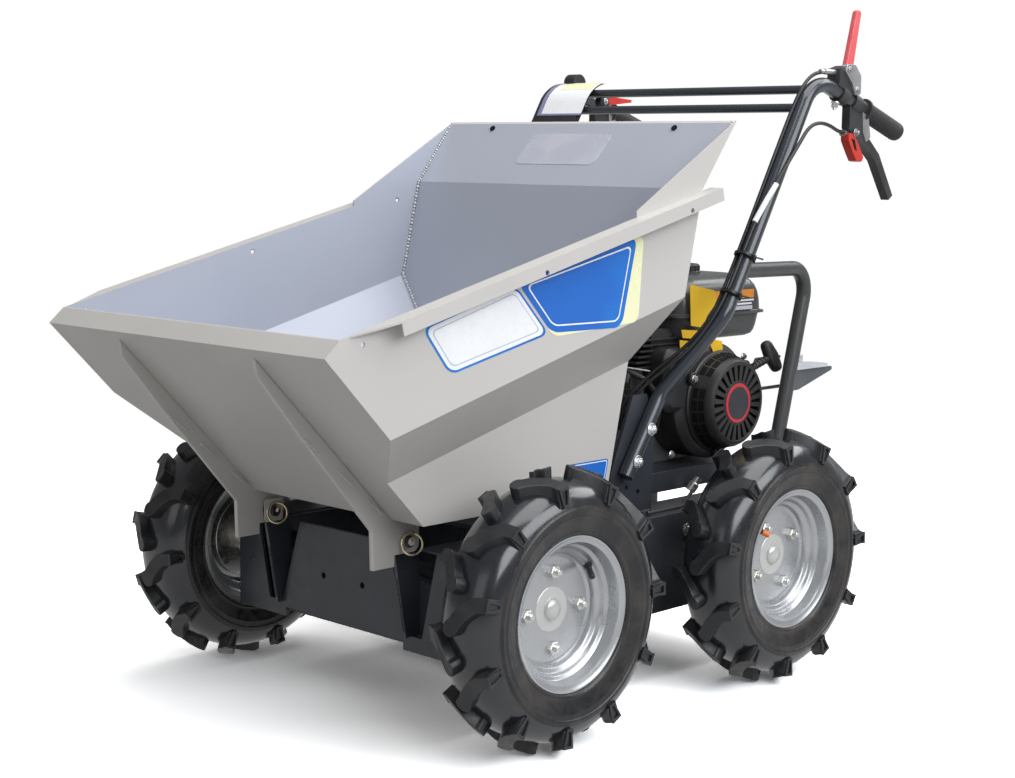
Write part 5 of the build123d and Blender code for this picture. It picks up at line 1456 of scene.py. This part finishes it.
    def screws(self) -> None:
        """Add the starter's mounting screws and the engine's bolts."""
        shape = Shape()
        for turn in self.ears:
            spot = self.around(turn) @ Vector((self.drum_r + 4.0, 0.0, 9.5))
            fastener(shape, spot, LEFT, 5.4, 6.4, 3.6, 0.0)
        for y, z in ((176.0, 360.0), (376.0, 372.0), (366.0, 510.0), (196.0, 520.0)):
            fastener(shape, (194.0, y, z), LEFT, 5.0, 6.4, 3.4, 0.0)
        for spot, out in (
            ((132.0, 118.0, 470.0), (0.3, -0.9, 0.2)),
            ((110.0, 108.0, 486.0), (0.2, -0.9, 0.4)),
            ((122.0, 124.0, 452.0), (0.3, -0.9, 0.2)),
            ((140.0, 150.0, 480.0), (0.5, -0.8, 0.2)),
        ):
            fastener(shape, spot, out, 5.6, 7.6, 4.0, 3.0)
        shape.piece("engine_bolts", self.body, "zinc", ZINC)

    def pull_handle(self) -> None:
        """Make the ribbed neck and the rounded bar of the starter's pull handle."""
        foot, head = Vector((216.0, 350.0, 489.0)), Vector((222.0, 408.0, 509.0))
        length = (head - foot).length
        neck = facing(foot, head - foot, LEFT)
        shape = Shape()
        profile = [(0.0, 0.0), (9.0, 0.0), (9.0, 6.0), (7.0, 8.0)]
        for i in range(5):
            start = 12.0 + i * (length - 22.0) / 5
            profile += [(5.4, start - 2.0), (6.8, start - 0.6), (6.8, start + 3.4), (5.4, start + 4.8)]
        profile += [(6.5, length - 4.0), (8.0, length), (0.0, length + 4.0)]
        shape.lathe(profile, neck, 24)
        start, end = Vector((215.0, 400.0, 532.0)), Vector((229.0, 418.0, 487.0))
        bar = facing(start, end - start, head - foot)
        reach = (end - start).length
        shape.stack(
            ((-3.0, 5.0, 5.0, 4.9), (-1.0, 8.4, 7.6, 7.0), (4.0, 10.6, 9.4, 8.4), (reach / 2, 13.4, 10.4, 9.0),
             (reach - 4.0, 10.6, 9.4, 8.4), (reach + 1.0, 8.4, 7.6, 7.0), (reach + 3.0, 5.0, 5.0, 4.9)),
            bar,
        )
        shape.piece("pull_grip", self.body, "plastic_black", BLACK_PLASTIC, ["pull_handle"])

    def tank(self) -> None:
        """Press the fuel tank: two rounded halves with a seam flange between them, and the filler cap."""
        place = Matrix.Translation(self.tank_centre)
        parts = (("lower", self.tank_floor, TANK_DARK, []), ("upper", self.tank_roof, TANK_PAINT, ["fuel_tank"]))
        for name, levels, finish, nodes in parts:
            shape = Shape()
            shape.stack([(z, *(half - inset for half in self.tank_half), corner) for z, inset, corner in levels], place)
            shape.piece(f"tank_{name}", self.body, "tank_grey", finish, nodes)
        cap = Shape()
        profile = ((0, 648), (31, 648), (31, 652), (29.4, 654), (29.4, 663.5), (27.6, 665.6), (22, 666.2), (0, 666.4))
        cap.lathe(profile, Matrix.Translation((88.0, 326.0, 0.0)), 48)
        for i in range(18):
            turned = Matrix.Translation((88.0, 326.0, 658.5)) @ Matrix.Rotation(math.tau * i / 18, 4, "Z")
            cap.cuboid((1.6, 3.6, 8.0), (0, 0, 0), turned @ Matrix.Translation((29.6, 0.0, 0.0)))
        cap.piece("tank_cap", self.body, "plastic_black", BLACK_PLASTIC, ["fuel_cap"])

    def label(self) -> None:
        """Lay the tank's blank label: an orange band over blank white bars."""
        place = sideways((183.9, 0.0, 0.0))
        parts = (
            ("band", ORANGE_DECAL, ((268.0, 610.0), (402.0, 610.0), (402.0, 624.0), (268.0, 624.0))),
            ("bars", WHITE_DECAL, ((330.0, 604.4), (402.0, 604.4), (402.0, 607.4), (330.0, 607.4))),
            ("bar_two", WHITE_DECAL, ((330.0, 598.6), (396.0, 598.6), (396.0, 601.6), (330.0, 601.6))),
            ("field", SILVER_PLATE, ((346.0, 590.0), (398.0, 590.0), (398.0, 596.4), (346.0, 596.4))),
        )
        for name, finish, outline in parts:
            shape = Shape()
            shape.plate(outline, 2.9, place, 1.0)
            shape.piece(f"tank_label_{name}", self.body, "tank_grey", finish)

    def cards(self) -> None:
        """Hang the yellow cards beside the tank and below it."""
        shape = Shape()
        place = sideways((self.card_x, 0.0, 0.0))
        upper = ((216.0, 640.0), (221.0, 571.0), (255.0, 566.0), (263.0, 585.0), (289.0, 607.0), (283.0, 627.0))
        cards = (
            (upper, 0.0, 2.0),
            (((196.0, 566.0), (200.0, 552.0), (258.0, 546.0), (262.0, 560.0)), 0.0, 1.0),
            (((192.0, 549.0), (194.0, 535.0), (212.0, 533.0), (216.0, 546.0)), 0.0, 1.0),
            (((262.0, 548.0), (277.0, 524.0), (305.0, 517.0), (300.0, 541.0)), 4.6, 1.0),
        )
        for outline, lift, corner in cards:
            shape.plate(outline, self.card_sheet, place @ Matrix.Translation((0.0, 0.0, lift)), corner)
        shape.piece("hanging_cards", self.body, "tank_grey", YELLOW_CARD)

    def intake(self) -> None:
        """Fill the bay below the tank with cooling fins, dark blocks, hoses and the bright throttle linkage."""
        shape = Shape()
        for i in range(6):
            shape.cuboid((112.0, 108.0 - 4.0 * i, 4.0), (104.0, 172.0 + 3.0 * i, 503.0 + 9.0 * i))
        shape.cuboid((132.0, 92.0, 84.0), (88.0, 212.0, 522.0))
        shape.cuboid((96.0, 30.0, 58.0), (110.0, 126.0, 474.0))
        shape.cuboid((60.0, 18.0, 70.0), (146.0, 116.0, 436.0))
        shape.soften(1.4, 40.0)
        for route, radius, bend in self.hoses:
            shape.tube(route, radius, bend, 16)
        shape.piece("intake_fins", self.body, "engine_metal", BLACK_METAL)
        bright = Shape()
        bright.cuboid((66.0, 2.0, 14.0), (128.0, 104.0, 498.0), Matrix.Rotation(0.3, 4, "Y"))
        bright.tube(((96.0, 108.0, 512.0), (150.0, 108.0, 506.0), (178.0, 136.0, 500.0)), 1.6, 8.0, 10)
        bright.piece("throttle_linkage", self.body, "zinc", ENGINE_METAL)


# ---- handlebars ----------------------------------------------------------------------------------------
@dataclass
class Handlebar:
    """One handlebar: bracket, bent tube, bolts, grip, steering lever with its latch, and the guard's tube."""

    frame: dict
    side: str
    sign: int
    body: str = "chassis"
    tube_r: float = 12.6
    low: Outline = ((30.0, 343.0), (111.0, 467.0))
    high: Outline = ((185.0, 597.0), (410.5, 984.0), (664.5, 898.5))
    low_x: float = 220.0
    high_x: float = 290.0
    guard_x: float = 263.0
    latch: Outline = (
        (504.0, 893.0), (520.0, 892.0), (534.0, 876.0), (552.0, 852.0), (546.0, 844.0), (530.0, 845.0),
        (514.0, 866.0), (504.0, 880.0),
    )
    # outline of the latch slot's painted shade, as (y, z)
    latch_slot_shade: Outline = ((512.0, 884.0), (522.0, 882.0), (530.0, 862.0), (522.0, 866.0))
    arm: Outline = ((545.0, 934.0), (562.0, 930.0), (572.0, 886.0), (559.0, 878.0), (548.0, 896.0))
    slope: Vector = field(default_factory=lambda: Vector((0.0, 254.0, -85.5)).normalized())

    def build(self) -> None:
        """Make every piece."""
        softened(self.frame, f"handlebar_bracket_{self.side}", CHASSIS_PAINT, "chassis_black", self.body, 1.2)
        self.bar()
        self.bolts()
        self.grip()
        self.guard_tube()
        softened(self.frame, f"steering_lever_{self.side}", BLACK_METAL, "plastic_black", self.body, 1.6)
        self.steering_latch()
        self.steering_metal()
        self.sleeve()

    def at(self, along: float, out: float = 0.0, up: float = 0.0) -> Vector:
        """Find a point by its distance ahead of the bar's rear end.

        Args:
            along: The distance from the end, towards the front.
            out: The distance outwards from the bar's middle line.
            up: The distance above the middle line, square to it.

        Returns:
            The point.
        """
        end = Vector((self.sign * self.high_x, *self.high[-1]))
        raised = Vector((0.0, -self.slope.z, self.slope.y))
        return end - self.slope * along + Vector((self.sign * out, 0.0, 0.0)) + raised * up

    def bar(self) -> None:
        """Bend the tube."""
        route = [(self.sign * self.low_x, *point) for point in self.low]
        route += [(self.sign * self.high_x, *point) for point in self.high]
        shape = Shape()
        shape.tube(route, self.tube_r, 60.0, 36)
        shape.piece(f"bar_{self.side}", self.body, "tube_black", TUBE_PAINT, [f"handlebar_{self.side}"])

    def bolts(self) -> None:
        """Add the two large bolts that hold the tube to its bracket."""
        shape = Shape()
        for y, z in ((46.0, 367.0), (78.0, 416.0)):
            fastener(shape, (self.sign * (self.low_x + 11.6), y, z), (self.sign, 0.0, 0.0), 7.0, 10.4, 5.4, 2.4)
        shape.piece(f"bar_bolts_{self.side}", self.body, "zinc", BRIGHT_ZINC)

    def grip(self) -> None:
        """Mould the grip: a flange, rings of ribs and a rounded end."""
        place = facing(self.at(112.0), self.slope, LEFT)
        profile = [(11.0, 0.0), (19.5, 0.0), (20.0, 1.2), (20.0, 4.6), (18.5, 6.0), (15.6, 7.0)]
        for i in range(14):
            start = 11.0 + i * 6.6
            profile += [(15.4, start), (16.6, start + 1.0), (16.6, start + 4.0), (15.4, start + 5.0)]
        profile += [(16.4, 105.0), (16.8, 110.0), (16.0, 115.0), (12.6, 118.0), (6.0, 119.2), (0.0, 119.4)]
        shape = Shape()
        shape.lathe([(0.0, 0.0)] + profile, place, 40)
        shape.piece(f"grip_{self.side}_ribbed", self.body, "rubber_black", GRIP_RUBBER, [f"grip_{self.side}"], 50.0)

    def guard_tube(self) -> None:
        """Bend the guard's tube and set its foot plate."""
        x = self.sign * self.guard_x
        route = ((self.sign * 284.0, 236.0, 666.8), (x, 452.0, 663.0), (x, 352.0, 278.0))
        shape = Shape()
        shape.tube(route, self.tube_r, 42.0, 36)
        shape.cuboid((52.0, 40.0, 6.0), (self.sign * 251.0, 352.0, 280.0))
        shape.piece(f"guard_{self.side}_tube", self.body, "tube_black", GUARD_PAINT, [f"guard_{self.side}"])

    def side_plate(self, shape: Shape, outline: Outline, out: float, depth: float, corner: float) -> None:
        """Extrude an outline outwards, square to the machine's side.

        Args:
            shape: The mesh that takes it.
            outline: Its corners as (y, z).
            out: How far outwards of the bar's middle line it starts.
            depth: Its thickness.
            corner: The radius of its corners.
        """
        place = sideways((self.sign * (self.high_x + out), 0.0, 0.0), self.sign)
        shape.plate(on_side(outline, self.sign), depth, place, corner)

    def steering_latch(self) -> None:
        """Add the steering lever's red latch, and paint the shade of its slot as a thin near-black plate."""
        latch, slot = Shape(), Shape()
        self.side_plate(latch, self.latch, -6.0, 17.0, 3.0)
        latch.soften(1.2, 60.0)
        latch.piece(f"latch_{self.side}", self.body, "lever_red", LATCH_RED)
        self.side_plate(slot, self.latch_slot_shade, 10.6, 0.7, 2.0)
        slot.piece(f"latch_slot_shade_{self.side}", self.body, "plastic_black", SHADE_AND_PLUG_BLACK)

    def steering_metal(self) -> None:
        """Add the steering lever's pivot bolt, its bright arm and the cable's adjuster."""
        x = self.sign * self.high_x
        shape = Shape()
        fastener(shape, (x + self.sign * 11.0, 524.0, 894.0), (self.sign, 0.0, 0.0), 5.0, 7.0, 4.0, 2.0)
        self.side_plate(shape, self.arm, -11.6, 22.0, 2.0)
        shape.tube(((x, 499.0, 893.0), (x, 514.0, 892.0)), 5.2, 0.0, 16)
        shape.soften(0.8, 60.0)
        shape.piece(f"steering_metal_{self.side}", self.body, "clamp_silver", CLAMP_METAL)

    def sleeve(self) -> None:
        """Slip the dark sleeve over the tube ahead of the grip."""
        shape = Shape()
        place = facing(self.at(148.0), self.slope, LEFT)
        shape.lathe(((11.0, 0.0), (13.6, 0.6), (14.0, 2.0), (14.0, 34.0), (13.6, 35.4), (11.0, 36.0)), place, 36)
        shape.piece(f"bar_sleeve_{self.side}", self.body, "rubber_black", BLACK_PLASTIC)


@dataclass
class Controls:
    """Cross bars, console with its throttle, and the drive lever in its clamp."""

    frame: dict
    body: str = "chassis"
    bend: tuple[float, float] = (437.7, 911.6)
    wrap_r: float = 73.3
    top_turn: float = 95.0
    skirt_turn: float = 149.8
    wrap_steps: int = 24
    clamp_cap: Outline = (
        (478.0, 996.0), (484.0, 1008.0), (508.0, 1008.0), (526.0, 990.0), (526.0, 958.0), (510.0, 956.0),
        (500.0, 976.0),
    )
    tie_spots: Outline = ((238.0, 688.0), (203.0, 628.0))

    def build(self) -> None:
        """Make every piece."""
        self.cross_bars()
        self.console()
        self.console_lever()
        self.drive()
        self.ties()

    def cross_bars(self) -> None:
        """Make the two bars between the handlebars."""
        shape = Shape()
        for y, z in ((405.0, 963.0), (380.0, 932.0)):
            shape.tube(((-282.0, y, z), (282.0, y, z)), 7.4, 0.0, 24)
        shape.piece("cross_bar_rods", self.body, "tube_black", TUBE_PAINT, ["cross_bars"])

    def wrap(self, start: float, end: float, lift: float) -> list[tuple[float, float]]:
        """Follow the console's curve.

        Args:
            start: Where to start, in millimetres from its top edge.
            end: Where to end.
            lift: How far to stay off its face.

        Returns:
            The points as (y, z).
        """
        arc = math.radians(self.skirt_turn - self.top_turn) * self.wrap_r
        points = []
        for i in range(self.wrap_steps + 1):
            along = start + (end - start) * i / self.wrap_steps
            turn = math.radians(self.top_turn + math.degrees(min(along, arc) / self.wrap_r))
            radius = self.wrap_r + lift
            y, z = self.bend[0] + radius * math.cos(turn), self.bend[1] + radius * math.sin(turn)
            beyond = max(along - arc, 0.0)
            points.append((y - beyond * math.sin(turn), z + beyond * math.cos(turn)))
        return points

    def strip(self, name: str, finish: Finish, xs: tuple[float, float], ends: tuple[float, float], lift: float) -> None:
        """Lay a strip of film round the console.

        Args:
            name: The piece's name.
            finish: Its finish.
            xs: Its two sides.
            ends: Its upper and lower end along the curve.
            lift: How far it stands off the console.
        """
        shape = Shape()
        line = [shape.bm.verts.new((xs[0], y, z)) for y, z in self.wrap(*ends, lift)]
        edges = [shape.bm.edges.new(pair) for pair in zip(line, line[1:])]
        grown = bmesh.ops.extrude_edge_only(shape.bm, edges=edges)["geom"]
        moved = [item for item in grown if isinstance(item, bmesh.types.BMVert)]
        bmesh.ops.translate(shape.bm, verts=moved, vec=(xs[1] - xs[0], 0.0, 0.0))
        shape.piece(name, self.body, "plastic_black", finish)

    def console(self) -> None:
        """Dress the curved plate with its films and set the throttle on it."""
        softened(self.frame, "console", BLACK_PLASTIC, "plastic_black", self.body, 0.5)
        strips = (
            ("back", BLACK_PLASTIC, (-294.0, -186.0), (0.0, 114.0), -2.0),
            ("white", WHITE_DECAL, (-286.0, -186.0), (2.0, 96.0), 0.3),
            ("yellow", CREAM_DECAL, (-270.0, -192.0), (8.0, 40.0), 0.5),
            ("side", LILAC_FILM, (-296.0, -286.0), (2.0, 100.0), 0.4),
            ("foot", LILAC_FILM, (-286.0, -186.0), (96.0, 100.0), 0.4),
        )
        for name, finish, xs, ends, lift in strips:
            self.strip(f"console_{name}", finish, xs, ends, lift)
        softened(self.frame, "throttle", BLACK_PLASTIC, "plastic_black", self.body, 2.0)

    def console_lever(self) -> None:
        """Add the pivot and the red tapered lever beside the console."""
        pivot, screw, lever = Shape(), Shape(), Shape()
        pivot.lathe(((0, 0), (13.0, 0), (13.0, 12.0), (11.0, 14.0), (0, 14.0)), sideways((-196.0, 424.0, 948.0)), 28)
        pivot.piece("console_pivot", self.body, "plastic_black", BLACK_PLASTIC)
        fastener(screw, (-182.0, 424.0, 950.0), LEFT, 4.0, 6.0, 3.0, 1.0)
        screw.piece("console_screw", self.body, "zinc", BRIGHT_ZINC)
        outline = ((432.0, 942.0), (438.0, 960.0), (506.0, 955.0), (506.0, 950.0))
        lever.plate(outline, 6.0, sideways((-194.0, 0.0, 0.0)), 1.5)
        lever.soften(1.0, 60.0)
        lever.piece("console_red_lever", self.body, "lever_red", LATCH_RED)

    def drive(self) -> None:
        """Dress the drive lever and its clamp."""
        softened(self.frame, "drive_clamp", BLACK_METAL, "clamp_silver", self.body, 2.0)
        softened(self.frame, "drive_lever", LEVER_RED, "lever_red", self.body, 2.2)
        cap = Shape()
        cap.plate(self.clamp_cap, 12.0, sideways((296.0, 0.0, 0.0)), 4.0)
        cap.soften(1.6, 50.0)
        for y, z in ((490.0, 999.0), (514.0, 966.0)):
            fastener(cap, (308.0, y, z), LEFT, 3.6, 5.4, 2.0, 0.0)
        for front, rear, radius in ((440.0, 472.0, 5.0), (428.0, 444.0, 3.8)):
            cap.tube(((290.0, front, 994.0), (290.0, rear, 994.0)), radius, 0.0, 16)
        cap.piece("drive_clamp_cap", self.body, "clamp_silver", CLAMP_METAL)
        below = Shape()
        fastener(below, (290.0, 476.0, 944.0), (0.0, -0.3, -0.9), 5.6, 7.4, 8.0, 4.0)
        below.piece("drive_clamp_bolt", self.body, "zinc", ZINC)

    def ties(self) -> None:
        """Tie the cables to the left tube and slip the pale sleeve over them."""
        shape = Shape()
        run = Vector((0.0, 225.5, 387.0)).normalized()
        across = Vector((0.0, -run.z, run.y))
        for y, z in self.tie_spots:
            centre = Vector((290.0, y, z)) + across * 4.0
            shape.stack(((-2.4, 16.5, 17.5, 13.0), (2.4, 16.5, 17.5, 13.0)), facing(centre, run, LEFT), 8)
            shape.cuboid((7.0, 7.0, 6.0), centre + Vector((17.0, 0.0, 0.0)))
            tail = centre + Vector((20.0, 0.0, 0.0))
            shape.tube((tail, tail + Vector((6.0, 14.0, -4.0))), 1.4, 0.0, 8)
        shape.piece("cable_ties", self.body, "cable_black", CABLE_SHEATH)
        sleeve = Shape()
        sleeve.tube(((303.4, 296.0, 807.0), (299.4, 276.0, 781.0), (294.6, 252.0, 746.0)), 4.6, 30.0, 16)
        sleeve.piece("cable_sleeve", self.body, "cable_black", WHITE_DECAL)


@dataclass
class Cables:
    """The two control cables, from their levers down the left tube to the gearbox."""

    body: str = "chassis"
    diameter: float = 6.2
    drive_length: float = 1.054  # metres
    steering_length: float = 1.045
    drive: Route = (
        (290.0, 468.7, 994.0), (290.0, 437.0, 994.0), (289.0, 407.0, 988.0), (286.0, 385.0, 968.0),
        (281.0, 367.5, 935.5), (280.2, 330.5, 871.5), (279.3, 287.7, 795.3), (279.8, 246.0, 724.5),
        (279.3, 205.5, 655.5), (276.0, 172.0, 598.0), (256.0, 146.0, 556.0), (229.0, 122.0, 524.0),
        (203.0, 100.0, 497.0), (181.0, 76.0, 462.0), (166.0, 57.0, 415.0), (154.0, 44.0, 362.0),
        (136.0, 47.0, 311.0), (106.0, 68.0, 278.0), (71.0, 90.0, 268.0), (38.0, 111.0, 263.0),
        (22.0, 136.0, 262.0), (22.0, 159.0, 262.0),
    )
    steering: Route = (
        (292.0, 513.0, 893.0), (292.0, 490.0, 893.0), (298.0, 450.0, 905.0), (303.5, 410.0, 909.0),
        (307.0, 376.0, 900.0), (306.5, 351.0, 872.0), (304.5, 310.0, 826.0), (295.4, 258.0, 757.0),
        (292.6, 221.0, 690.0), (291.0, 183.0, 625.5), (278.0, 157.0, 580.5), (256.0, 133.0, 539.0),
        (226.0, 110.0, 508.0), (198.0, 90.0, 478.0), (180.0, 64.0, 432.0), (168.0, 44.0, 380.0),
        (156.0, 38.0, 325.0), (128.0, 58.0, 278.0), (88.0, 90.0, 256.0), (44.0, 128.0, 250.0),
        (44.0, 159.0, 250.0),
    )

    def build(self) -> None:
        """Make both cables."""
        self.cable("drive", self.drive, self.drive_length)
        self.cable("steering", self.steering, self.steering_length)

    def cable(self, name: str, route: Route, length: float) -> None:
        """Run one cable as a curve.

        Args:
            name: Its lever.
            route: The points that steer it, the first and last on it.
            length: Its length in metres; not used.
        """
        curve = bpy.data.curves.new(f"cable_{name}_curve", "CURVE")
        curve.dimensions = "3D"
        curve.bevel_depth = self.diameter / 2 * MM
        curve.bevel_resolution = 3
        curve.use_fill_caps = True
        line = curve.splines.new("NURBS")
        line.points.add(len(route) - 1)
        for point, spot in zip(line.points, route):
            point.co = (*(Vector(spot) * MM), 1.0)
        line.order_u = 3
        line.use_endpoint_u = True
        line.resolution_u = 8
        cable = added(f"cable_{name}_sheath", curve)
        curve.materials.append(CABLE_SHEATH.material())
        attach(cable, self.body)
        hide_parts(f"cable_{name}")


# ---- studio --------------------------------------------------------------------------------------------
@dataclass(frozen=True)
class Lamp:
    """One soft rectangular lamp, in metres and watts."""

    name: str
    place: tuple[float, float, float]
    target: tuple[float, float, float]
    size: tuple[float, float]
    power: float
    colour: tuple[float, float, float] = (1.0, 1.0, 1.0)

    def add(self) -> None:
        """Put the lamp into the scene."""
        light = bpy.data.lights.new(self.name, "AREA")
        light.shape = "RECTANGLE"
        light.size, light.size_y = self.size
        light.energy = self.power
        light.color = self.colour
        turned = (Vector(self.target) - Vector(self.place)).to_track_quat("-Z", "Y").to_matrix().to_4x4()
        added(self.name, light).matrix_world = Matrix.Translation(Vector(self.place)) @ turned


@dataclass(frozen=True)
class Studio:
    """White floor, even light and the camera. Lengths are metres and angles degrees."""

    eye: tuple[float, float, float] = (2.057, -2.133, 0.845)
    heading: float = 44.163
    dip: float = 7.316
    roll: float = 0.713
    lens_mm: float = 64.07
    sensor_mm: float = 36.0
    floor_half: float = 30.0
    floor_lit: float = 0.34  # the floor's grey that lights the machine
    floor_seen: float = 2.0  # the floor's grey that the camera sees
    floor_mirrored: float = 0.45  # share of its glow that shows in gloss
    glow_ends: tuple[float, float] = (1.1, 3.2)  # distances from the middle between which the floor fades to white
    glow_shares: tuple[float, float] = (0.03, 1.0)
    world_strength: float = 0.42
    world_mirrored: float = 0.26  # the world's strength as gloss shows it
    lamps: tuple[Lamp, ...] = (
        Lamp("key_lamp", (3.3, 0.0, 2.3), (0.0, -0.1, 0.5), (4.8, 1.7), 112.0, (0.93, 0.965, 1.0)),
        Lamp("top_lamp", (0.7, 0.4, 3.5), (0.2, -0.1, 0.4), (3.4, 3.4), 108.0),
        Lamp("back_lamp", (1.0, 3.3, 2.9), (0.2, 0.0, 0.4), (2.8, 1.3), 40.0),
        Lamp("front_lamp", (0.8, -4.2, 1.8), (0.0, 0.0, 0.4), (2.4, 1.6), 9.0),
    )

    def build(self) -> None:
        """Add the floor, the world, the lamps and the camera."""
        self.floor()
        self.world()
        for lamp in self.lamps:
            lamp.add()
        self.camera()

    def floor(self) -> None:
        """Lay a white floor that keeps the machine's shadow."""
        mesh = bpy.data.meshes.new("floor")
        bm = bmesh.new()
        bmesh.ops.create_grid(bm, x_segments=1, y_segments=1, size=self.floor_half)
        bm.to_mesh(mesh)
        bm.free()
        floor = added("floor", mesh)
        mesh.materials.append(self.white())

    def white(self) -> bpy.types.Material:
        """Make the floor's white, which the camera sees brighter than it lights the machine and which glows far away.

        Returns:
            The material.
        """
        nodes = Nodes("floor_white")
        tree = nodes.tree
        tree.nodes.remove(nodes.shader)
        path = tree.nodes.new("ShaderNodeLightPath")
        grey = nodes.blend(path.outputs["Is Camera Ray"], (self.floor_lit,) * 3, (self.floor_seen,) * 3)
        diffuse = tree.nodes.new("ShaderNodeBsdfDiffuse")
        nodes.link(grey, diffuse, "Color")
        glow = tree.nodes.new("ShaderNodeEmission")
        glow.inputs["Color"].default_value = (1.0, 1.0, 1.0, 1.0)
        reach = tree.nodes.new("ShaderNodeVectorMath")
        reach.operation = "LENGTH"
        nodes.link(nodes.place, reach, 0)
        far = nodes.spread(reach.outputs["Value"], *self.glow_ends, *self.glow_shares)
        share = nodes.math("MULTIPLY", far, path.outputs["Is Camera Ray"])
        mirror = nodes.math("MULTIPLY", path.outputs["Is Glossy Ray"], self.floor_mirrored)
        mix = tree.nodes.new("ShaderNodeMixShader")
        nodes.link(nodes.math("MAXIMUM", share, mirror), mix, "Fac")
        nodes.link(diffuse.outputs[0], mix, 1)
        nodes.link(glow.outputs[0], mix, 2)
        nodes.link(mix.outputs[0], tree.nodes["Material Output"], "Surface")
        return nodes.material

    def world(self) -> None:
        """Light the machine evenly, a little darker where gloss mirrors it, and show the camera plain white."""
        world = bpy.data.worlds.new("studio")
        bpy.context.scene.world = world
        world.use_nodes = True
        tree = world.node_tree
        background = tree.nodes["Background"]
        background.inputs["Color"].default_value = (1.0, 1.0, 1.0, 1.0)
        path = tree.nodes.new("ShaderNodeLightPath")
        strength = tree.nodes.new("ShaderNodeMapRange")
        strength.inputs["To Max"].default_value = 1.0
        tree.links.new(path.outputs["Is Camera Ray"], strength.inputs["Value"])
        mirrored = tree.nodes.new("ShaderNodeMapRange")
        mirrored.inputs["To Min"].default_value = self.world_strength
        mirrored.inputs["To Max"].default_value = self.world_mirrored
        tree.links.new(path.outputs["Is Glossy Ray"], mirrored.inputs["Value"])
        tree.links.new(mirrored.outputs["Result"], strength.inputs["To Min"])
        tree.links.new(strength.outputs["Result"], background.inputs["Strength"])

    def camera(self) -> None:
        """Set the camera."""
        yaw, pitch, roll = (math.radians(a) for a in (self.heading, self.dip, self.roll))
        ahead = Vector((-math.sin(yaw) * math.cos(pitch), math.cos(yaw) * math.cos(pitch), -math.sin(pitch)))
        level = Vector((math.cos(yaw), math.sin(yaw), 0.0))
        up = level.cross(ahead)
        right = level * math.cos(roll) + up * math.sin(roll)
        top = up * math.cos(roll) - level * math.sin(roll)
        data = bpy.data.cameras.new("camera")
        data.lens = self.lens_mm
        data.sensor_width = self.sensor_mm
        camera = added("camera", data)
        camera.matrix_world = Matrix.Translation(Vector(self.eye)) @ Matrix((right, top, -ahead)).transposed().to_4x4()
        bpy.context.scene.camera = camera
        bpy.context.scene.view_settings.view_transform = "Standard"


def main() -> None:
    """Dress the machine piece by piece."""
    logging.basicConfig(level=logging.INFO, format="%(name)s: %(message)s")
    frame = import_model()
    Studio().build()
    for axle, bolt_turn, valve_turn in AXLES:
        cap = ORANGE_CAP if axle == "rear" else BLACK_PLASTIC
        for side, sign in SIDES:
            Wheel(axle, side, sign, bolt_turn, valve_turn=valve_turn, valve_cap=cap).build()
    Skip(frame).build()
    Chassis(frame).build()
    Engine(frame).build()
    for side, sign in SIDES:
        Handlebar(frame, side, sign).build()
    Controls(frame).build()
    Cables().build()


if __name__ == "__main__":
    main()
